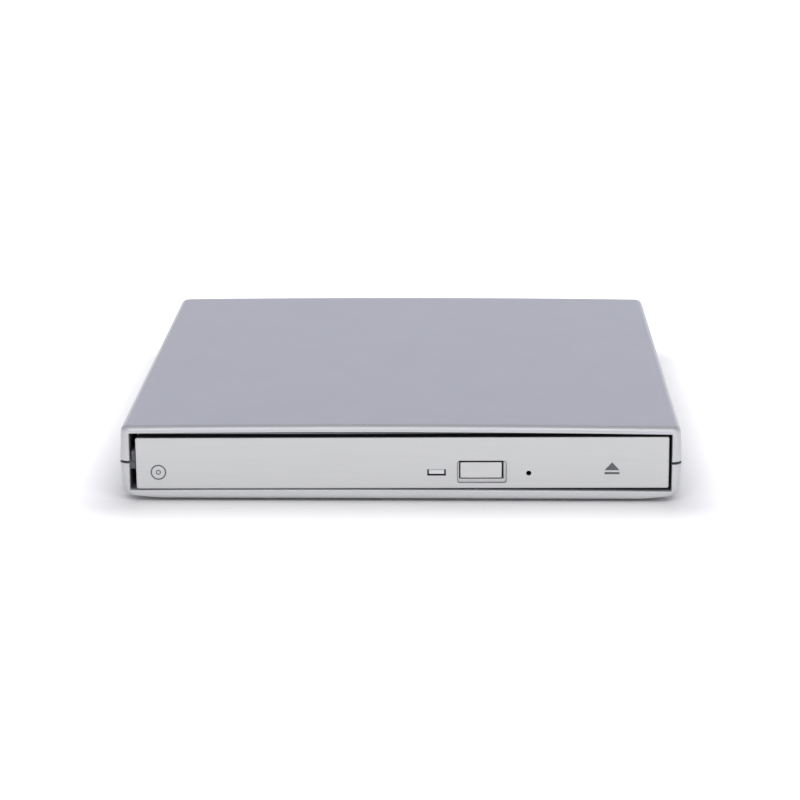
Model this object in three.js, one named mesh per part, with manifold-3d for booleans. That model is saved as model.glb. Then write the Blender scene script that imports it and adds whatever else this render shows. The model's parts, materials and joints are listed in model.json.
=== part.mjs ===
// An external slim optical drive: a two-shell plastic case around a tray-loading disc drive, with a
// small bridge board behind the drive that carries the USB socket and the power socket.
//
// Units are millimetres. +X is to the right as seen from the bezel, +Y runs from the bezel to the
// sockets and +Z is up. The origin is on the table, under the centre of the case.

import * as THREE from "three";
import { mergeVertices } from "three/addons/utils/BufferGeometryUtils.js";
import Module from "manifold-3d";

const wasm = await Module();
wasm.setup();

// ---------------------------------------------------------------- driving dimensions

const GAP = 0.3; // clearance between neighbouring pieces
const CASE = { width: 135.2, depth: 142, underside: 0.8, top: 18.7, seam: 9.9, crown: 0.45 };
const WALL = { side: 2.5, floor: 2.05, roof: 1.7, back: 1.8 };
const FLOOR_BOW = 0.25; // the floor inside the case stands a little higher along its middle
const SHEET = 0.6; // thickness of the drive's stamped steel
const DRIVE = { width: 128, height: 12.7, body: 126.1, bezel: 3.9, z: 3.5, x: 0.4 };
const BEZEL_Z = [3.4, 16.08];
const BEZEL_TILT = 0.0045; // radians: the bezel is clipped on a little askew, higher at its right end
const DISC = { recess: 60.6, small: 40.5 }; // radii of the two disc steps in the tray
const TRAVEL = { lens: 31.5 };

const FRONT = -CASE.depth / 2;
const BACK = CASE.depth / 2;
const INSIDE = {
  x: CASE.width / 2 - WALL.side,
  back: BACK - WALL.back,
  floor: CASE.underside + WALL.floor,
  roof: CASE.top - WALL.roof,
};

const BEZEL_FRONT = FRONT + GAP;
const BODY_FRONT = BEZEL_FRONT + DRIVE.bezel;
const BODY_BACK = BODY_FRONT + DRIVE.body;
const BODY_HALF = DRIVE.width / 2;
const BODY_TOP = DRIVE.z + DRIVE.height;
const CHASSIS_FLOOR = DRIVE.z + SHEET;
const WALL_JOIN = 9.7; // height where the chassis wall stops and the cover wall starts

// Heights inside the drive.
const SHIELD = [4.4, 4.8];
const BOARD = [4.4, 5.4];
const RAIL = [4.6, 9.2];
const DECK = { under: 9.5, small: 10.3, top: 10.8, rim: 12.8 };
const FRAME_PLATE = [5.6, 7.2];
const ROD_Z = 7.4;

// The disc's axis, and the traverse that carries the pickup from it towards the front left corner.
const SPINDLE_Y = BODY_FRONT + 1.6 + DISC.recess;
const TRAVERSE_TURN = -Math.PI * 0.75;

const TRAY = { half: 62.4, back: BODY_FRONT + 116, skirtOut: 60.2, skirtIn: 57.6 };
const PIN = { x: 36, y: -52, r: 1 }; // the chassis pin that the lock lever hooks behind
const LEVER = { x: 46, y: -58, z: [6.4, 7.9], open: -Math.PI / 9 };
const BUTTON = { x: [14.05, 24], z: [6, 9.9] };
const LED = { x: [6.5, 10.2], z: [7, 8.15] };
const RELEASE_HOLE = { x: 30.45, z: 7.2, r: 0.6 };
const USB = { x: -16, half: 3.85, z: [5, 8.9] };
const POWER = { x: -34, half: 4, z: [5, 9.1], bore: 1.6 };
const BRIDGE_BOARD = [4, 5];
const SATA = { x: [18.5, 51.5], z: [5.7, 8.8] };
const FOOT = { x: 50, y: 57, r: 4.5, top: 1.4 };
const CASE_SCREW = { x: 59, y: 64.6 };
const DRIVE_SCREW = { x: 45, y: 30 };

// ---------------------------------------------------------------- solids

// A closed geometry as a solid that can be joined and cut.
function toSolid(geometry) {
  const plain = geometry.index ? geometry.toNonIndexed() : geometry.clone();
  plain.deleteAttribute("normal");
  plain.deleteAttribute("uv");
  const merged = mergeVertices(plain, 1e-4);
  const index = merged.index.array;
  const triangles = [];
  for (let i = 0; i < index.length; i += 3) {
    const [a, b, c] = [index[i], index[i + 1], index[i + 2]];
    if (a !== b && b !== c && c !== a) triangles.push(a, b, c);
  }
  return new wasm.Manifold(
    new wasm.Mesh({
      numProp: 3,
      vertProperties: merged.attributes.position.array,
      triVerts: new Uint32Array(triangles),
    }),
  );
}

function toGeometry(solid) {
  const made = solid.getMesh();
  const geometry = new THREE.BufferGeometry();
  geometry.setAttribute("position", new THREE.BufferAttribute(made.vertProperties, 3));
  geometry.setIndex(new THREE.BufferAttribute(made.triVerts, 1));
  const faceted = geometry.toNonIndexed();
  faceted.computeVertexNormals();
  return faceted;
}

const join = (first, ...others) => others.reduce((whole, s) => whole.add(s), first);
const cut = (first, ...others) => others.reduce((whole, s) => whole.subtract(s), first);

function block([x0, x1], [y0, y1], [z0, z1]) {
  const box = new THREE.BoxGeometry(x1 - x0, y1 - y0, z1 - z0);
  return toSolid(box.translate((x0 + x1) / 2, (y0 + y1) / 2, (z0 + z1) / 2));
}

// An upright cylinder, standing at x, y.
function post(radius, [z0, z1], x = 0, y = 0, sides = 24) {
  const cylinder = new THREE.CylinderGeometry(radius, radius, z1 - z0, sides);
  return toSolid(cylinder.rotateX(Math.PI / 2).translate(x, y, (z0 + z1) / 2));
}

// A cylinder along Y, through x, z.
function rodAlongY(radius, [y0, y1], x, z, sides = 16) {
  const cylinder = new THREE.CylinderGeometry(radius, radius, y1 - y0, sides);
  return toSolid(cylinder.translate(x, (y0 + y1) / 2, z));
}

// A cylinder along X, through y, z.
function rodAlongX(radius, [x0, x1], y, z, sides = 16) {
  const cylinder = new THREE.CylinderGeometry(radius, radius, x1 - x0, sides);
  return toSolid(cylinder.rotateZ(Math.PI / 2).translate((x0 + x1) / 2, y, z));
}

const outline = (points) => new THREE.Shape(points.map(([a, b]) => new THREE.Vector2(a, b)));

function extrude(shape, depth) {
  return new THREE.ExtrudeGeometry(shape, { depth, bevelEnabled: false, curveSegments: 7 });
}

// A prism on an outline in X and Y.
const prism = (shape, [z0, z1]) => toSolid(extrude(shape, z1 - z0).translate(0, 0, z0));

// A prism on an outline in X and Z, which runs along Y.
function prismAlongY(shape, [y0, y1]) {
  return toSolid(extrude(shape, y1 - y0).rotateX(Math.PI / 2).translate(0, y1, 0));
}

// A prism on an outline in Y and Z, which runs along X.
function prismAlongX(shape, [x0, x1]) {
  const turn = new THREE.Matrix4().makeBasis(
    new THREE.Vector3(0, 1, 0),
    new THREE.Vector3(0, 0, 1),
    new THREE.Vector3(1, 0, 0),
  );
  return toSolid(extrude(shape, x1 - x0).applyMatrix4(turn).translate(x0, 0, 0));
}

// A turned piece about the Z axis, from points of radius and height.
function turned(points, sides = 32) {
  const profile = points.map(([r, z]) => new THREE.Vector2(r, z));
  return toSolid(new THREE.LatheGeometry(profile, sides).rotateX(Math.PI / 2));
}

// A turned piece about the X axis, from points of radius and distance along X.
function turnedAlongX(points, sides = 16) {
  const profile = points.map(([r, x]) => new THREE.Vector2(r, x));
  return toSolid(new THREE.LatheGeometry(profile, sides).rotateZ(-Math.PI / 2));
}

function roundedRectangle([x0, x1], [y0, y1], r) {
  const shape = new THREE.Shape();
  shape.moveTo(x0 + r, y0);
  shape.lineTo(x1 - r, y0);
  shape.absarc(x1 - r, y0 + r, r, -Math.PI / 2, 0);
  shape.lineTo(x1, y1 - r);
  shape.absarc(x1 - r, y1 - r, r, 0, Math.PI / 2);
  shape.lineTo(x0 + r, y1);
  shape.absarc(x0 + r, y1 - r, r, Math.PI / 2, Math.PI);
  shape.lineTo(x0, y0 + r);
  shape.absarc(x0 + r, y0 + r, r, Math.PI, Math.PI * 1.5);
  return shape;
}

const mirrored = (solid) => solid.mirror([1, 0, 0]);
const sided = (solid, side) => (side < 0 ? mirrored(solid) : solid);

// ---------------------------------------------------------------- materials

const finish = (color, roughness, metalness) =>
  new THREE.MeshStandardMaterial({ color, roughness, metalness });

const MATERIAL = {
  case: finish(0xb6b8c2, 0.42, 0.35),
  bezel: finish(0xc4c6c8, 0.45, 0.3),
  button: finish(0xc8cacc, 0.4, 0.3),
  lightPipe: finish(0xd8dcdc, 0.25, 0),
  tray: finish(0x1c1d20, 0.6, 0),
  darkPlastic: finish(0x26272b, 0.5, 0),
  plate: finish(0xa9abad, 0.35, 0.9),
  rail: finish(0x8f9194, 0.35, 0.9),
  rod: finish(0xd5d7da, 0.15, 1),
  screw: finish(0x5c5e62, 0.35, 0.9),
  casting: finish(0x8b8d90, 0.5, 0.8),
  board: finish(0x1f5a38, 0.45, 0),
  chip: finish(0x17181a, 0.5, 0),
  connector: finish(0xd9d4c4, 0.5, 0),
  ribbon: finish(0xdfe3e6, 0.4, 0),
  rubber: finish(0x1a1a1b, 0.85, 0),
  lens: finish(0x7f8fb8, 0.05, 0),
  coil: finish(0xa8622c, 0.35, 0.8),
};

const node = (name, solid, material) => {
  const mesh = new THREE.Mesh(toGeometry(solid), material);
  mesh.name = name;
  return mesh;
};

// ---------------------------------------------------------------- case

// The section of the case across X. It is widest at the seam, with a little draft above and below.
// The upper edge is rounded and the roof slightly crowned. The lower edge turns in and then slopes
// gently down to the flat underside.
function caseSection() {
  const { underside, top, seam, crown } = CASE;
  const half = CASE.width / 2;
  const high = half - 0.35;
  const low = half - 0.4;
  const round = 1.5;
  const shape = new THREE.Shape();
  shape.moveTo(-half + 9.5, underside);
  shape.lineTo(half - 9.5, underside);
  shape.lineTo(low - 2.3, underside + 0.7);
  shape.quadraticCurveTo(low, underside + 0.95, low, underside + 3.4);
  shape.lineTo(half, seam);
  shape.lineTo(high, top - round);
  shape.absarc(high - round, top - round, round, 0, Math.PI / 2);
  shape.quadraticCurveTo(0, top + 2 * crown, -high + round, top);
  shape.absarc(-high + round, top - round, round, Math.PI / 2, Math.PI);
  shape.lineTo(-half, seam);
  shape.lineTo(-low, underside + 3.4);
  shape.quadraticCurveTo(-low, underside + 0.95, -low + 2.3, underside + 0.7);
  return shape;
}

// The case as one block, with every outer edge rounded.
function caseBlock() {
  const half = CASE.width / 2;
  const sides = prismAlongY(caseSection(), [FRONT, BACK]);
  const crest = CASE.top + CASE.crown;
  const plan = prism(roundedRectangle([-half, half], [FRONT, BACK], 2.5), [0, crest + 1]);
  const ends = roundedRectangle([FRONT, BACK], [CASE.underside, crest], 1.5);
  return sides.intersect(plan).intersect(prismAlongX(ends, [-half, half]));
}

// The space inside the case, open at the front, where it is the frame around the bezel.
function caseCavity() {
  const { x, floor, roof } = INSIDE;
  const shape = new THREE.Shape();
  shape.moveTo(-x, floor);
  shape.quadraticCurveTo(0, floor + 2 * FLOOR_BOW, x, floor);
  shape.lineTo(x, roof);
  shape.quadraticCurveTo(0, roof + 2 * CASE.crown, -x, roof);
  return prismAlongY(shape, [FRONT - 1, INSIDE.back]);
}

// The ring inside the wall where the lower shell's tongue stands, grown by a clearance.
function tongueRing([z0, z1], thickness, front) {
  const outer = INSIDE.x + thickness;
  const back = INSIDE.back + thickness;
  return cut(
    block([-outer, outer], [front, back], [z0, z1]),
    block([-INSIDE.x, INSIDE.x], [front - 1, INSIDE.back], [z0 - 1, z1 + 1]),
  );
}

function topCase() {
  const upper = block([-100, 100], [-100, 100], [CASE.seam + GAP / 2, CASE.top + 2]);
  let shell = cut(caseBlock().intersect(upper), caseCavity());
  shell = cut(shell, tongueRing([CASE.seam - 1, CASE.seam + 1.6], 1, FRONT + 1.7));
  for (const side of [-1, 1]) {
    const x = side * CASE_SCREW.x;
    const boss = post(3, [CASE.seam - 0.4, INSIDE.roof + 0.5], x, CASE_SCREW.y);
    shell = join(shell, boss);
    shell = cut(shell, post(1.55, [CASE.seam - 1, CASE.seam + 4.4], x, CASE_SCREW.y));
  }
  // Ribs under the roof that stop the drive from rattling upwards.
  for (const x of [-42, 0, 42]) {
    shell = join(shell, block([x - 0.6, x + 0.6], [-50, 55], [INSIDE.roof - 0.4, INSIDE.roof + 0.8]));
  }
  return shell;
}

function bottomCase() {
  const lower = block([-100, 100], [-100, 100], [0, CASE.seam - GAP / 2]);
  let shell = cut(caseBlock().intersect(lower), caseCavity());
  shell = join(shell, tongueRing([CASE.seam - 1, CASE.seam + 1.3], 0.7, FRONT + 2));
  for (const side of [-1, 1]) {
    const x = side * CASE_SCREW.x;
    shell = join(shell, post(3.2, [INSIDE.floor - 0.5, CASE.seam - 0.7], x, CASE_SCREW.y));
    shell = cut(
      shell,
      post(1.55, [0, CASE.seam + 1], x, CASE_SCREW.y),
      post(2.7, [0, 2.7], x, CASE_SCREW.y),
    );
    for (const y of [-FOOT.y, FOOT.y]) {
      shell = cut(shell, post(FOOT.r + GAP, [0, FOOT.top + GAP], side * FOOT.x, y));
    }
    shell = cut(
      shell,
      post(1.4, [0, 4], side * DRIVE_SCREW.x, DRIVE_SCREW.y),
      post(2.5, [0, 2.3], side * DRIVE_SCREW.x, DRIVE_SCREW.y),
    );
    // Runners that the drive stands on.
    const runner = [side * 54 - 1, side * 54 + 1];
    shell = join(shell, block(runner, [-64, 52], [INSIDE.floor - 0.3, DRIVE.z - GAP]));
  }
  // Standoffs under the bridge board.
  for (const x of [-36, 48]) {
    shell = join(shell, post(1.8, [INSIDE.floor - 0.3, BRIDGE_BOARD[0] - GAP], x, 64.5));
  }
  // The rib beside the bezel that centres the drive in the wider opening.
  const ribFront = FRONT + 2;
  const ribTip = -BODY_HALF + DRIVE.x - GAP;
  shell = join(
    shell,
    block([-INSIDE.x - 0.5, ribTip], [ribFront, ribFront + 9], [7.8, CASE.seam - 0.2]),
    block([-INSIDE.x + GAP, ribTip], [ribFront, ribFront + 9], [CASE.seam - 0.4, 12.2]),
  );
  const through = [INSIDE.back - 1, BACK + 1];
  for (const socket of [USB, POWER]) {
    const across = [socket.x - socket.half - GAP, socket.x + socket.half + GAP];
    shell = cut(shell, block(across, through, [socket.z[0] - GAP, socket.z[1] + GAP]));
  }
  return shell;
}

const foot = () =>
  turned([
    [0, 0],
    [FOOT.r - 0.4, 0],
    [FOOT.r, 0.5],
    [FOOT.r, FOOT.top],
    [0, FOOT.top],
  ]);

// A screw that stands on its head: a slotted pan head at the bottom and a plain shank above it.
function screw({ head, headZ, shank, tip, slot }) {
  const body = join(post(head, headZ), post(shank, [headZ[1] - 0.2, tip], 0, 0, 12));
  const across = [-slot, slot];
  const wide = [-slot / 4, slot / 4];
  const depth = [headZ[0] - 1, headZ[0] + 0.5];
  return cut(body, block(across, wide, depth), block(wide, across, depth));
}

// ---------------------------------------------------------------- bridge board and sockets

const bridgeBoard = () => block([-40, 53], [BODY_BACK + 1.2, INSIDE.back - GAP], BRIDGE_BOARD);

// The USB socket: a folded metal shell with the mini-B outline, open at the back of the case.
function usbSection(inset) {
  const half = USB.half - inset;
  const [z0, z1] = [USB.z[0] + inset, USB.z[1] - inset];
  return outline([
    [USB.x - half + 1, z0],
    [USB.x + half - 1, z0],
    [USB.x + half - 0.3, z0 + 1.3],
    [USB.x + half, z0 + 1.6],
    [USB.x + half, z1],
    [USB.x - half, z1],
    [USB.x - half, z0 + 1.6],
    [USB.x - half + 0.3, z0 + 1.3],
  ]);
}

const USB_DEPTH = [BACK - 9, BACK - 0.1];

function usbShell() {
  const open = [USB_DEPTH[0] + 0.5, BACK + 1];
  return cut(prismAlongY(usbSection(0), USB_DEPTH), prismAlongY(usbSection(0.4), open));
}

const usbTongue = () =>
  block([USB.x - 2, USB.x + 2], [USB_DEPTH[0] + 0.8, BACK - 1.2], [USB.z[0] + 1.2, USB.z[0] + 2.2]);

const POWER_DEPTH = [BACK - 9, BACK - 0.1];
const POWER_Z = (POWER.z[0] + POWER.z[1]) / 2;

function powerSocket() {
  const body = block([POWER.x - POWER.half, POWER.x + POWER.half], POWER_DEPTH, POWER.z);
  const hollow = cut(body, rodAlongY(POWER.bore, [BACK - 8, BACK + 1], POWER.x, POWER_Z, 24));
  return join(hollow, rodAlongY(0.5, [BACK - 8.2, BACK - 1.5], POWER.x, POWER_Z, 12));
}

function bridgePlug() {
  const body = block([SATA.x[0] + 1, SATA.x[1] - 1], [BODY_BACK + GAP, BODY_BACK + 5], SATA.z);
  const key = block([SATA.x[0] + 9, SATA.x[0] + 10], [BODY_BACK, BODY_BACK + 2], [0, 7.6]);
  return cut(body, key);
}

// ---------------------------------------------------------------- fixed drive parts

// The stamped pan under the drive, with its sides turned up and a notch for the rear connector.
function driveChassis() {
  const outer = block([-BODY_HALF, BODY_HALF], [BODY_FRONT, BODY_BACK], [DRIVE.z, WALL_JOIN]);
  const inner = BODY_HALF - SHEET;
  const hollow = block([-inner, inner], [BODY_FRONT - 1, BODY_BACK - SHEET], [CHASSIS_FLOOR, 20]);
  const notch = block([SATA.x[0] - 1, SATA.x[1] + 1], [BODY_BACK - 2, BODY_BACK + 1], [CHASSIS_FLOOR, 20]);
  let pan = cut(outer, hollow, notch);
  for (const side of [-1, 1]) {
    pan = cut(pan, post(1.3, [0, 5], side * DRIVE_SCREW.x - DRIVE.x, DRIVE_SCREW.y));
  }
  return pan;
}

function driveCover() {
  const outer = block([-BODY_HALF, BODY_HALF], [BODY_FRONT, BODY_BACK], [WALL_JOIN + GAP, BODY_TOP]);
  const inner = BODY_HALF - SHEET;
  const hollow = block([-inner, inner], [BODY_FRONT - 1, BODY_BACK - SHEET], [0, BODY_TOP - SHEET]);
  return cut(outer, hollow);
}

// The main board is an L behind and beside the space that the tray's mechanism needs.
function mainBoard() {
  const edge = TRAY.skirtIn - 1.1;
  const [inner, front, step, back] = [37.5, -10, 33, BODY_BACK - SHEET - 1.2];
  const shape = outline([
    [-edge, step],
    [inner, step],
    [inner, front],
    [edge, front],
    [edge, back],
    [-edge, back],
  ]);
  return prism(shape, BOARD);
}

const chip = (x, y, size, z, height) =>
  block([x - size / 2, x + size / 2], [y - size / 2, y + size / 2], [z, z + height]);

function sataSocket() {
  const body = block(SATA.x, [BODY_BACK - 4.5, BODY_BACK], SATA.z);
  const mouth = [SATA.x[0] + 1.2, SATA.x[1] - 1.2];
  return cut(body, block(mouth, [BODY_BACK - 3.5, BODY_BACK + 1], [SATA.z[0] + 0.8, SATA.z[1] - 0.8]));
}

// The fixed rail is a lipped channel. The middle rail is an H whose outer head runs in the fixed
// rail and whose inner head runs in the groove along the tray's skirt.
function outerRail() {
  const [z0, z1] = RAIL;
  const web = BODY_HALF - SHEET - GAP;
  const shape = outline([
    [60.8, z0],
    [web, z0],
    [web, z1],
    [60.8, z1],
    [60.8, z1 - 1.5],
    [61.3, z1 - 1.5],
    [61.3, z1 - 0.5],
    [web - 0.5, z1 - 0.5],
    [web - 0.5, z0 + 0.5],
    [61.3, z0 + 0.5],
    [61.3, z0 + 1.5],
    [60.8, z0 + 1.5],
  ]);
  return prismAlongY(shape, [BODY_FRONT + 2.8, BODY_BACK - 3.3]);
}

function middleRail() {
  const middle = (RAIL[0] + RAIL[1]) / 2;
  const heads = [
    [58.7, 59.4],
    [61.6, 62.3],
  ];
  const length = [BODY_FRONT + 2.8, BODY_BACK - 3.3];
  const neck = block([59.2, 61.8], length, [middle - 0.5, middle + 0.5]);
  return join(neck, ...heads.map((x) => block(x, length, [middle - 1.5, middle + 1.5])));
}

const latchPin = () =>
  join(
    post(PIN.r, [CHASSIS_FLOOR + 0.1, 8.4], PIN.x, PIN.y, 16),
    post(PIN.r + 0.5, [CHASSIS_FLOOR + 0.1, CHASSIS_FLOOR + 0.5], PIN.x, PIN.y, 16),
  );

// The flat cable from the main board to the tray: back along the board, round, and forward again
// under the tray's deck.
const RIBBON = { x: [43, 54], low: 6.2, high: 9.1, bend: 52, board: -4.6, tray: -20, thick: 0.2 };

function ribbonCable() {
  const { low, high, bend, board, tray, thick } = RIBBON;
  const middle = (low + high) / 2;
  const outerR = (high - low) / 2;
  const innerR = outerR - thick;
  const shape = new THREE.Shape();
  shape.moveTo(board, low);
  shape.lineTo(bend, low);
  shape.absarc(bend, middle, outerR, -Math.PI / 2, Math.PI / 2);
  shape.lineTo(tray, high);
  shape.lineTo(tray, high - thick);
  shape.lineTo(bend, high - thick);
  shape.absarc(bend, middle, innerR, Math.PI / 2, -Math.PI / 2, true);
  shape.lineTo(board, low + thick);
  return prismAlongX(shape, RIBBON.x);
}

const boardRibbonSocket = () =>
  block([RIBBON.x[0] - 1, RIBBON.x[1] + 1], [-9, RIBBON.board - GAP], [BOARD[1], 6.9]);
const trayRibbonSocket = () =>
  block([RIBBON.x[0] - 1, RIBBON.x[1] + 1], [RIBBON.tray - 4, RIBBON.tray - GAP], [8.1, DECK.under - 0.1]);

// ---------------------------------------------------------------- traverse places

// A point of the traverse, along and across its rods, as a point of the drive.
function fromTraverse(along, across) {
  const place = new THREE.Vector2(along, across).rotateAround(new THREE.Vector2(), TRAVERSE_TURN);
  return [place.x, place.y + SPINDLE_Y];
}

const DAMPERS = [
  [-12.5, -14],
  [42, -21.5],
  [36, 27],
];
const RODS = { main: 14.5, sub: -13, r: 1.2, from: 10.3, to: 64.7 };
const SCREW = { across: 20.5, r: 1.4 };
const LENS = { start: 24 };

// ---------------------------------------------------------------- tray

// The opening in the tray's deck: round over the turntable, with a slot for the pickup.
function trayWindow() {
  const reach = post(59.2, [0, 20], 0, 0, 64);
  const slot = block([0, 70], [-17, 18.5], [0, 20]).intersect(reach);
  const motor = block([-9.5, 7], [17, 23.5], [0, 20]);
  return join(slot, post(15.3, [0, 20], 0, 0, 48), motor)
    .rotate([0, 0, THREE.MathUtils.radToDeg(TRAVERSE_TURN)])
    .translate([0, SPINDLE_Y, 0]);
}

// A skirt under the deck's right edge, grooved on its outer side for the middle rail.
function traySkirt() {
  const length = [BODY_FRONT, TRAY.back];
  const skirt = block([TRAY.skirtIn, TRAY.skirtOut], length, [RAIL[0], DECK.under + 0.2]);
  const groove = block([58.4, 59.7], [-100, 100], [RAIL[0] + 0.5, RAIL[1] - 0.5]);
  const slot = block([59, 62], [-100, 100], [RAIL[0] + 1.5, RAIL[1] - 1.5]);
  return cut(skirt, groove, slot);
}

const EJECTOR = { x: -52, z: 7.9, r: 1.1, bore: 1.5, front: BODY_FRONT + 92 };

function tray() {
  const length = [BODY_FRONT, TRAY.back];
  const plan = roundedRectangle([-TRAY.half, TRAY.half], length, 1.5);
  let body = prism(plan, [DECK.under, DECK.rim]);
  body = cut(body, post(DISC.recess, [DECK.top, 20], 0, SPINDLE_Y, 120));
  body = cut(body, post(DISC.small, [DECK.small, 20], 0, SPINDLE_Y, 80));
  const skirt = traySkirt();
  const front = block([-TRAY.skirtOut, TRAY.skirtOut], [BODY_FRONT, BODY_FRONT + 1.8], [5.1, DECK.rim]);
  body = join(body, skirt, mirrored(skirt), front);
  body = cut(body, block([2.5, 27.5], [BODY_FRONT - 1, BODY_FRONT + 3], [0, DECK.under - 0.1]));
  const hole = [BODY_FRONT - 1, BODY_FRONT + 3];
  body = cut(body, rodAlongY(1, hole, RELEASE_HOLE.x, RELEASE_HOLE.z, 12));
  body = cut(body, trayWindow());
  // Posts that the shield plate is screwed to.
  const posts = [
    [-52, -60.5],
    [54.2, -62],
    [-50, 22],
    [30, 24],
    [53, -31],
  ];
  for (const [x, y] of posts) {
    body = join(body, post(2.2, [SHIELD[1] + GAP, DECK.under + 0.2], x, y, 16));
  }
  // Pins that the traverse's rubber dampers hang on.
  for (const place of DAMPERS) {
    const [x, y] = fromTraverse(...place);
    body = join(body, post(3.2, [8.4, DECK.under + 0.2], x, y, 16), post(1.2, [5.1, 8.6], x, y, 12));
  }
  // The lever's pivot pin.
  body = join(body, post(0.8, [6, DECK.under + 0.2], LEVER.x, LEVER.y, 12));
  const { x, z, front: from, bore } = EJECTOR;
  const housing = block([x - 2.6, x + 2.6], [from, TRAY.back], [z - 1.9, DECK.under + 0.2]);
  body = join(body, housing);
  return cut(body, rodAlongY(bore, [from + 1.5, TRAY.back + 1], x, z, 16));
}

// The bezel is a shallow box with its back open. The button sits in a shallow frame.
function bezel() {
  const z = BEZEL_Z;
  const back = BODY_FRONT - GAP;
  const across = [-BODY_HALF, BODY_HALF];
  let front = prismAlongY(roundedRectangle(across, z, 0.4), [BEZEL_FRONT, back]);
  const inner = [-BODY_HALF + 1.4, BODY_HALF - 1.4];
  const skin = BEZEL_FRONT + 1.5;
  front = cut(front, block(inner, [skin, back + 1], [z[0] + 1.2, z[1] - 1.2]));
  const through = [BEZEL_FRONT - 1, back + 1];
  const ring = [BEZEL_FRONT - 1, BEZEL_FRONT + 0.5];
  const frame = roundedRectangle(
    [BUTTON.x[0] - 0.8, BUTTON.x[1] + 1.1],
    [BUTTON.z[0] - 1.15, BUTTON.z[1] + 0.35],
    0.6,
  );
  front = cut(front, prismAlongY(frame, ring));
  for (const { x, z: height } of [BUTTON, LED]) {
    front = cut(
      front,
      block([x[0] - GAP, x[1] + GAP], through, [height[0] - GAP, height[1] + GAP]),
    );
  }
  return cut(front, rodAlongY(RELEASE_HOLE.r, through, RELEASE_HOLE.x, RELEASE_HOLE.z, 16));
}

function ejectButton() {
  const skin = BEZEL_FRONT + 1.5;
  const face = block(BUTTON.x, [BEZEL_FRONT + 0.1, skin + 0.6], BUTTON.z);
  const flange = block(
    [BUTTON.x[0] - 0.8, BUTTON.x[1] + 0.8],
    [skin + GAP, skin + 1],
    [BUTTON.z[0] - 0.8, BUTTON.z[1] + 0.8],
  );
  const stem = block([17.6, 20], [skin, BODY_FRONT + 0.4], [7.2, 8.6]);
  return join(face, flange, stem);
}

function ledWindow() {
  const skin = BEZEL_FRONT + 1.5;
  const face = block(LED.x, [BEZEL_FRONT + 0.15, BODY_FRONT + 0.8], LED.z);
  const collar = [LED.x[0] - 0.7, LED.x[1] + 0.7];
  return join(face, block(collar, [skin + GAP, skin + 1], [LED.z[0] - 0.6, LED.z[1] + 0.6]));
}

const frontBoard = () => block([3.5, 26.5], [BODY_FRONT + 0.7, BODY_FRONT + 8], [5.2, 6]);
const activityLed = () => block([6.9, 9.8], [BODY_FRONT + 1.1, BODY_FRONT + 2.6], [6.1, 7.9]);
const ejectSwitch = () =>
  join(
    block([15.8, 21.8], [BODY_FRONT + 2, BODY_FRONT + 5.5], [6.1, 9.1]),
    rodAlongY(0.8, [BODY_FRONT + 1.5, BODY_FRONT + 2.4], 18.8, 7.9, 12),
  );

// The plate under the tray, with an open slot for the chassis's latch pin.
function trayShield() {
  const edge = TRAY.skirtIn - 0.6;
  const [front, right, left, slot] = [BODY_FRONT + 2.8, -13, 28, -54.5];
  const shape = outline([
    [-edge, front],
    [edge, front],
    [edge, right],
    [PIN.x + 2, right],
    [PIN.x + 2, slot],
    [PIN.x - 2, slot],
    [PIN.x - 2, left],
    [-edge, left],
  ]);
  return prism(shape, SHIELD);
}

// The lever that locks the tray. It is drawn hooked behind the chassis pin, about its own pivot, and
// is turned to its open place when it is put in the tray. Its front arm is behind the release hole.
function lockLever() {
  const arm = (x, y, width) => {
    const length = Math.hypot(x, y);
    const bar = block([0, length], [-width / 2, width / 2], LEVER.z);
    const turned_ = bar.rotate([0, 0, THREE.MathUtils.radToDeg(Math.atan2(y, x))]);
    return join(turned_, post(width / 2, LEVER.z, x, y, 16));
  };
  const hookBack = PIN.y + PIN.r + 0.4 - LEVER.y;
  const hook = block([PIN.x - 1.4 - LEVER.x, -6.6], [hookBack, hookBack + 2], LEVER.z);
  const body = join(post(2.4, LEVER.z), arm(-7.6, hookBack + 1, 2.2), hook, arm(-16, -3.6, 2.4), arm(4.8, 0.9, 2));
  return cut(body, post(1.1, [0, 20], 0, 0, 16));
}

const SOLENOID = { x: [47, 56], y: [-53, -42], z: [5.2, 9.1] };

function solenoid() {
  const body = block(SOLENOID.x, SOLENOID.y, SOLENOID.z);
  return cut(body, rodAlongY(1.4, [SOLENOID.y[0] - 1, SOLENOID.y[1] - 2], 50.5, 7.15, 16));
}

// The plunger stands out, with its end against the lever's short arm.
const solenoidPlunger = () => rodAlongY(1, [-57.4, SOLENOID.y[1] - 5], 50.5, 7.15, 16);

function ejectorPlunger() {
  const { x, z, r, front } = EJECTOR;
  const reach = BODY_BACK - SHEET - GAP;
  return join(rodAlongY(r, [front + 10, reach], x, z), rodAlongY(r + 0.5, [reach - 0.8, reach], x, z));
}

// ---------------------------------------------------------------- turntable

// The rotor of the disc motor, about the disc's axis, with its shaft below.
function turntable() {
  return turned([
    [0, 5.7],
    [1.2, 5.7],
    [1.2, 7.4],
    [12.8, 7.4],
    [13.4, 8],
    [13.4, 10.8],
    [12.9, 11.3],
    [12.7, 11.3],
    [12.7, 10.9],
    [9.9, 10.9],
    [9.9, 11.3],
    [0, 11.3],
  ], 40);
}

const turntablePad = () =>
  turned([
    [10.1, 11],
    [12.5, 11],
    [12.5, 11.5],
    [12.3, 11.6],
    [10.3, 11.6],
    [10.1, 11.5],
    [10.1, 11],
  ], 40);

const CLAW = { from: 5.9, to: 7.7, half: 1.1, z: [11.9, 12.9] };

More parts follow.
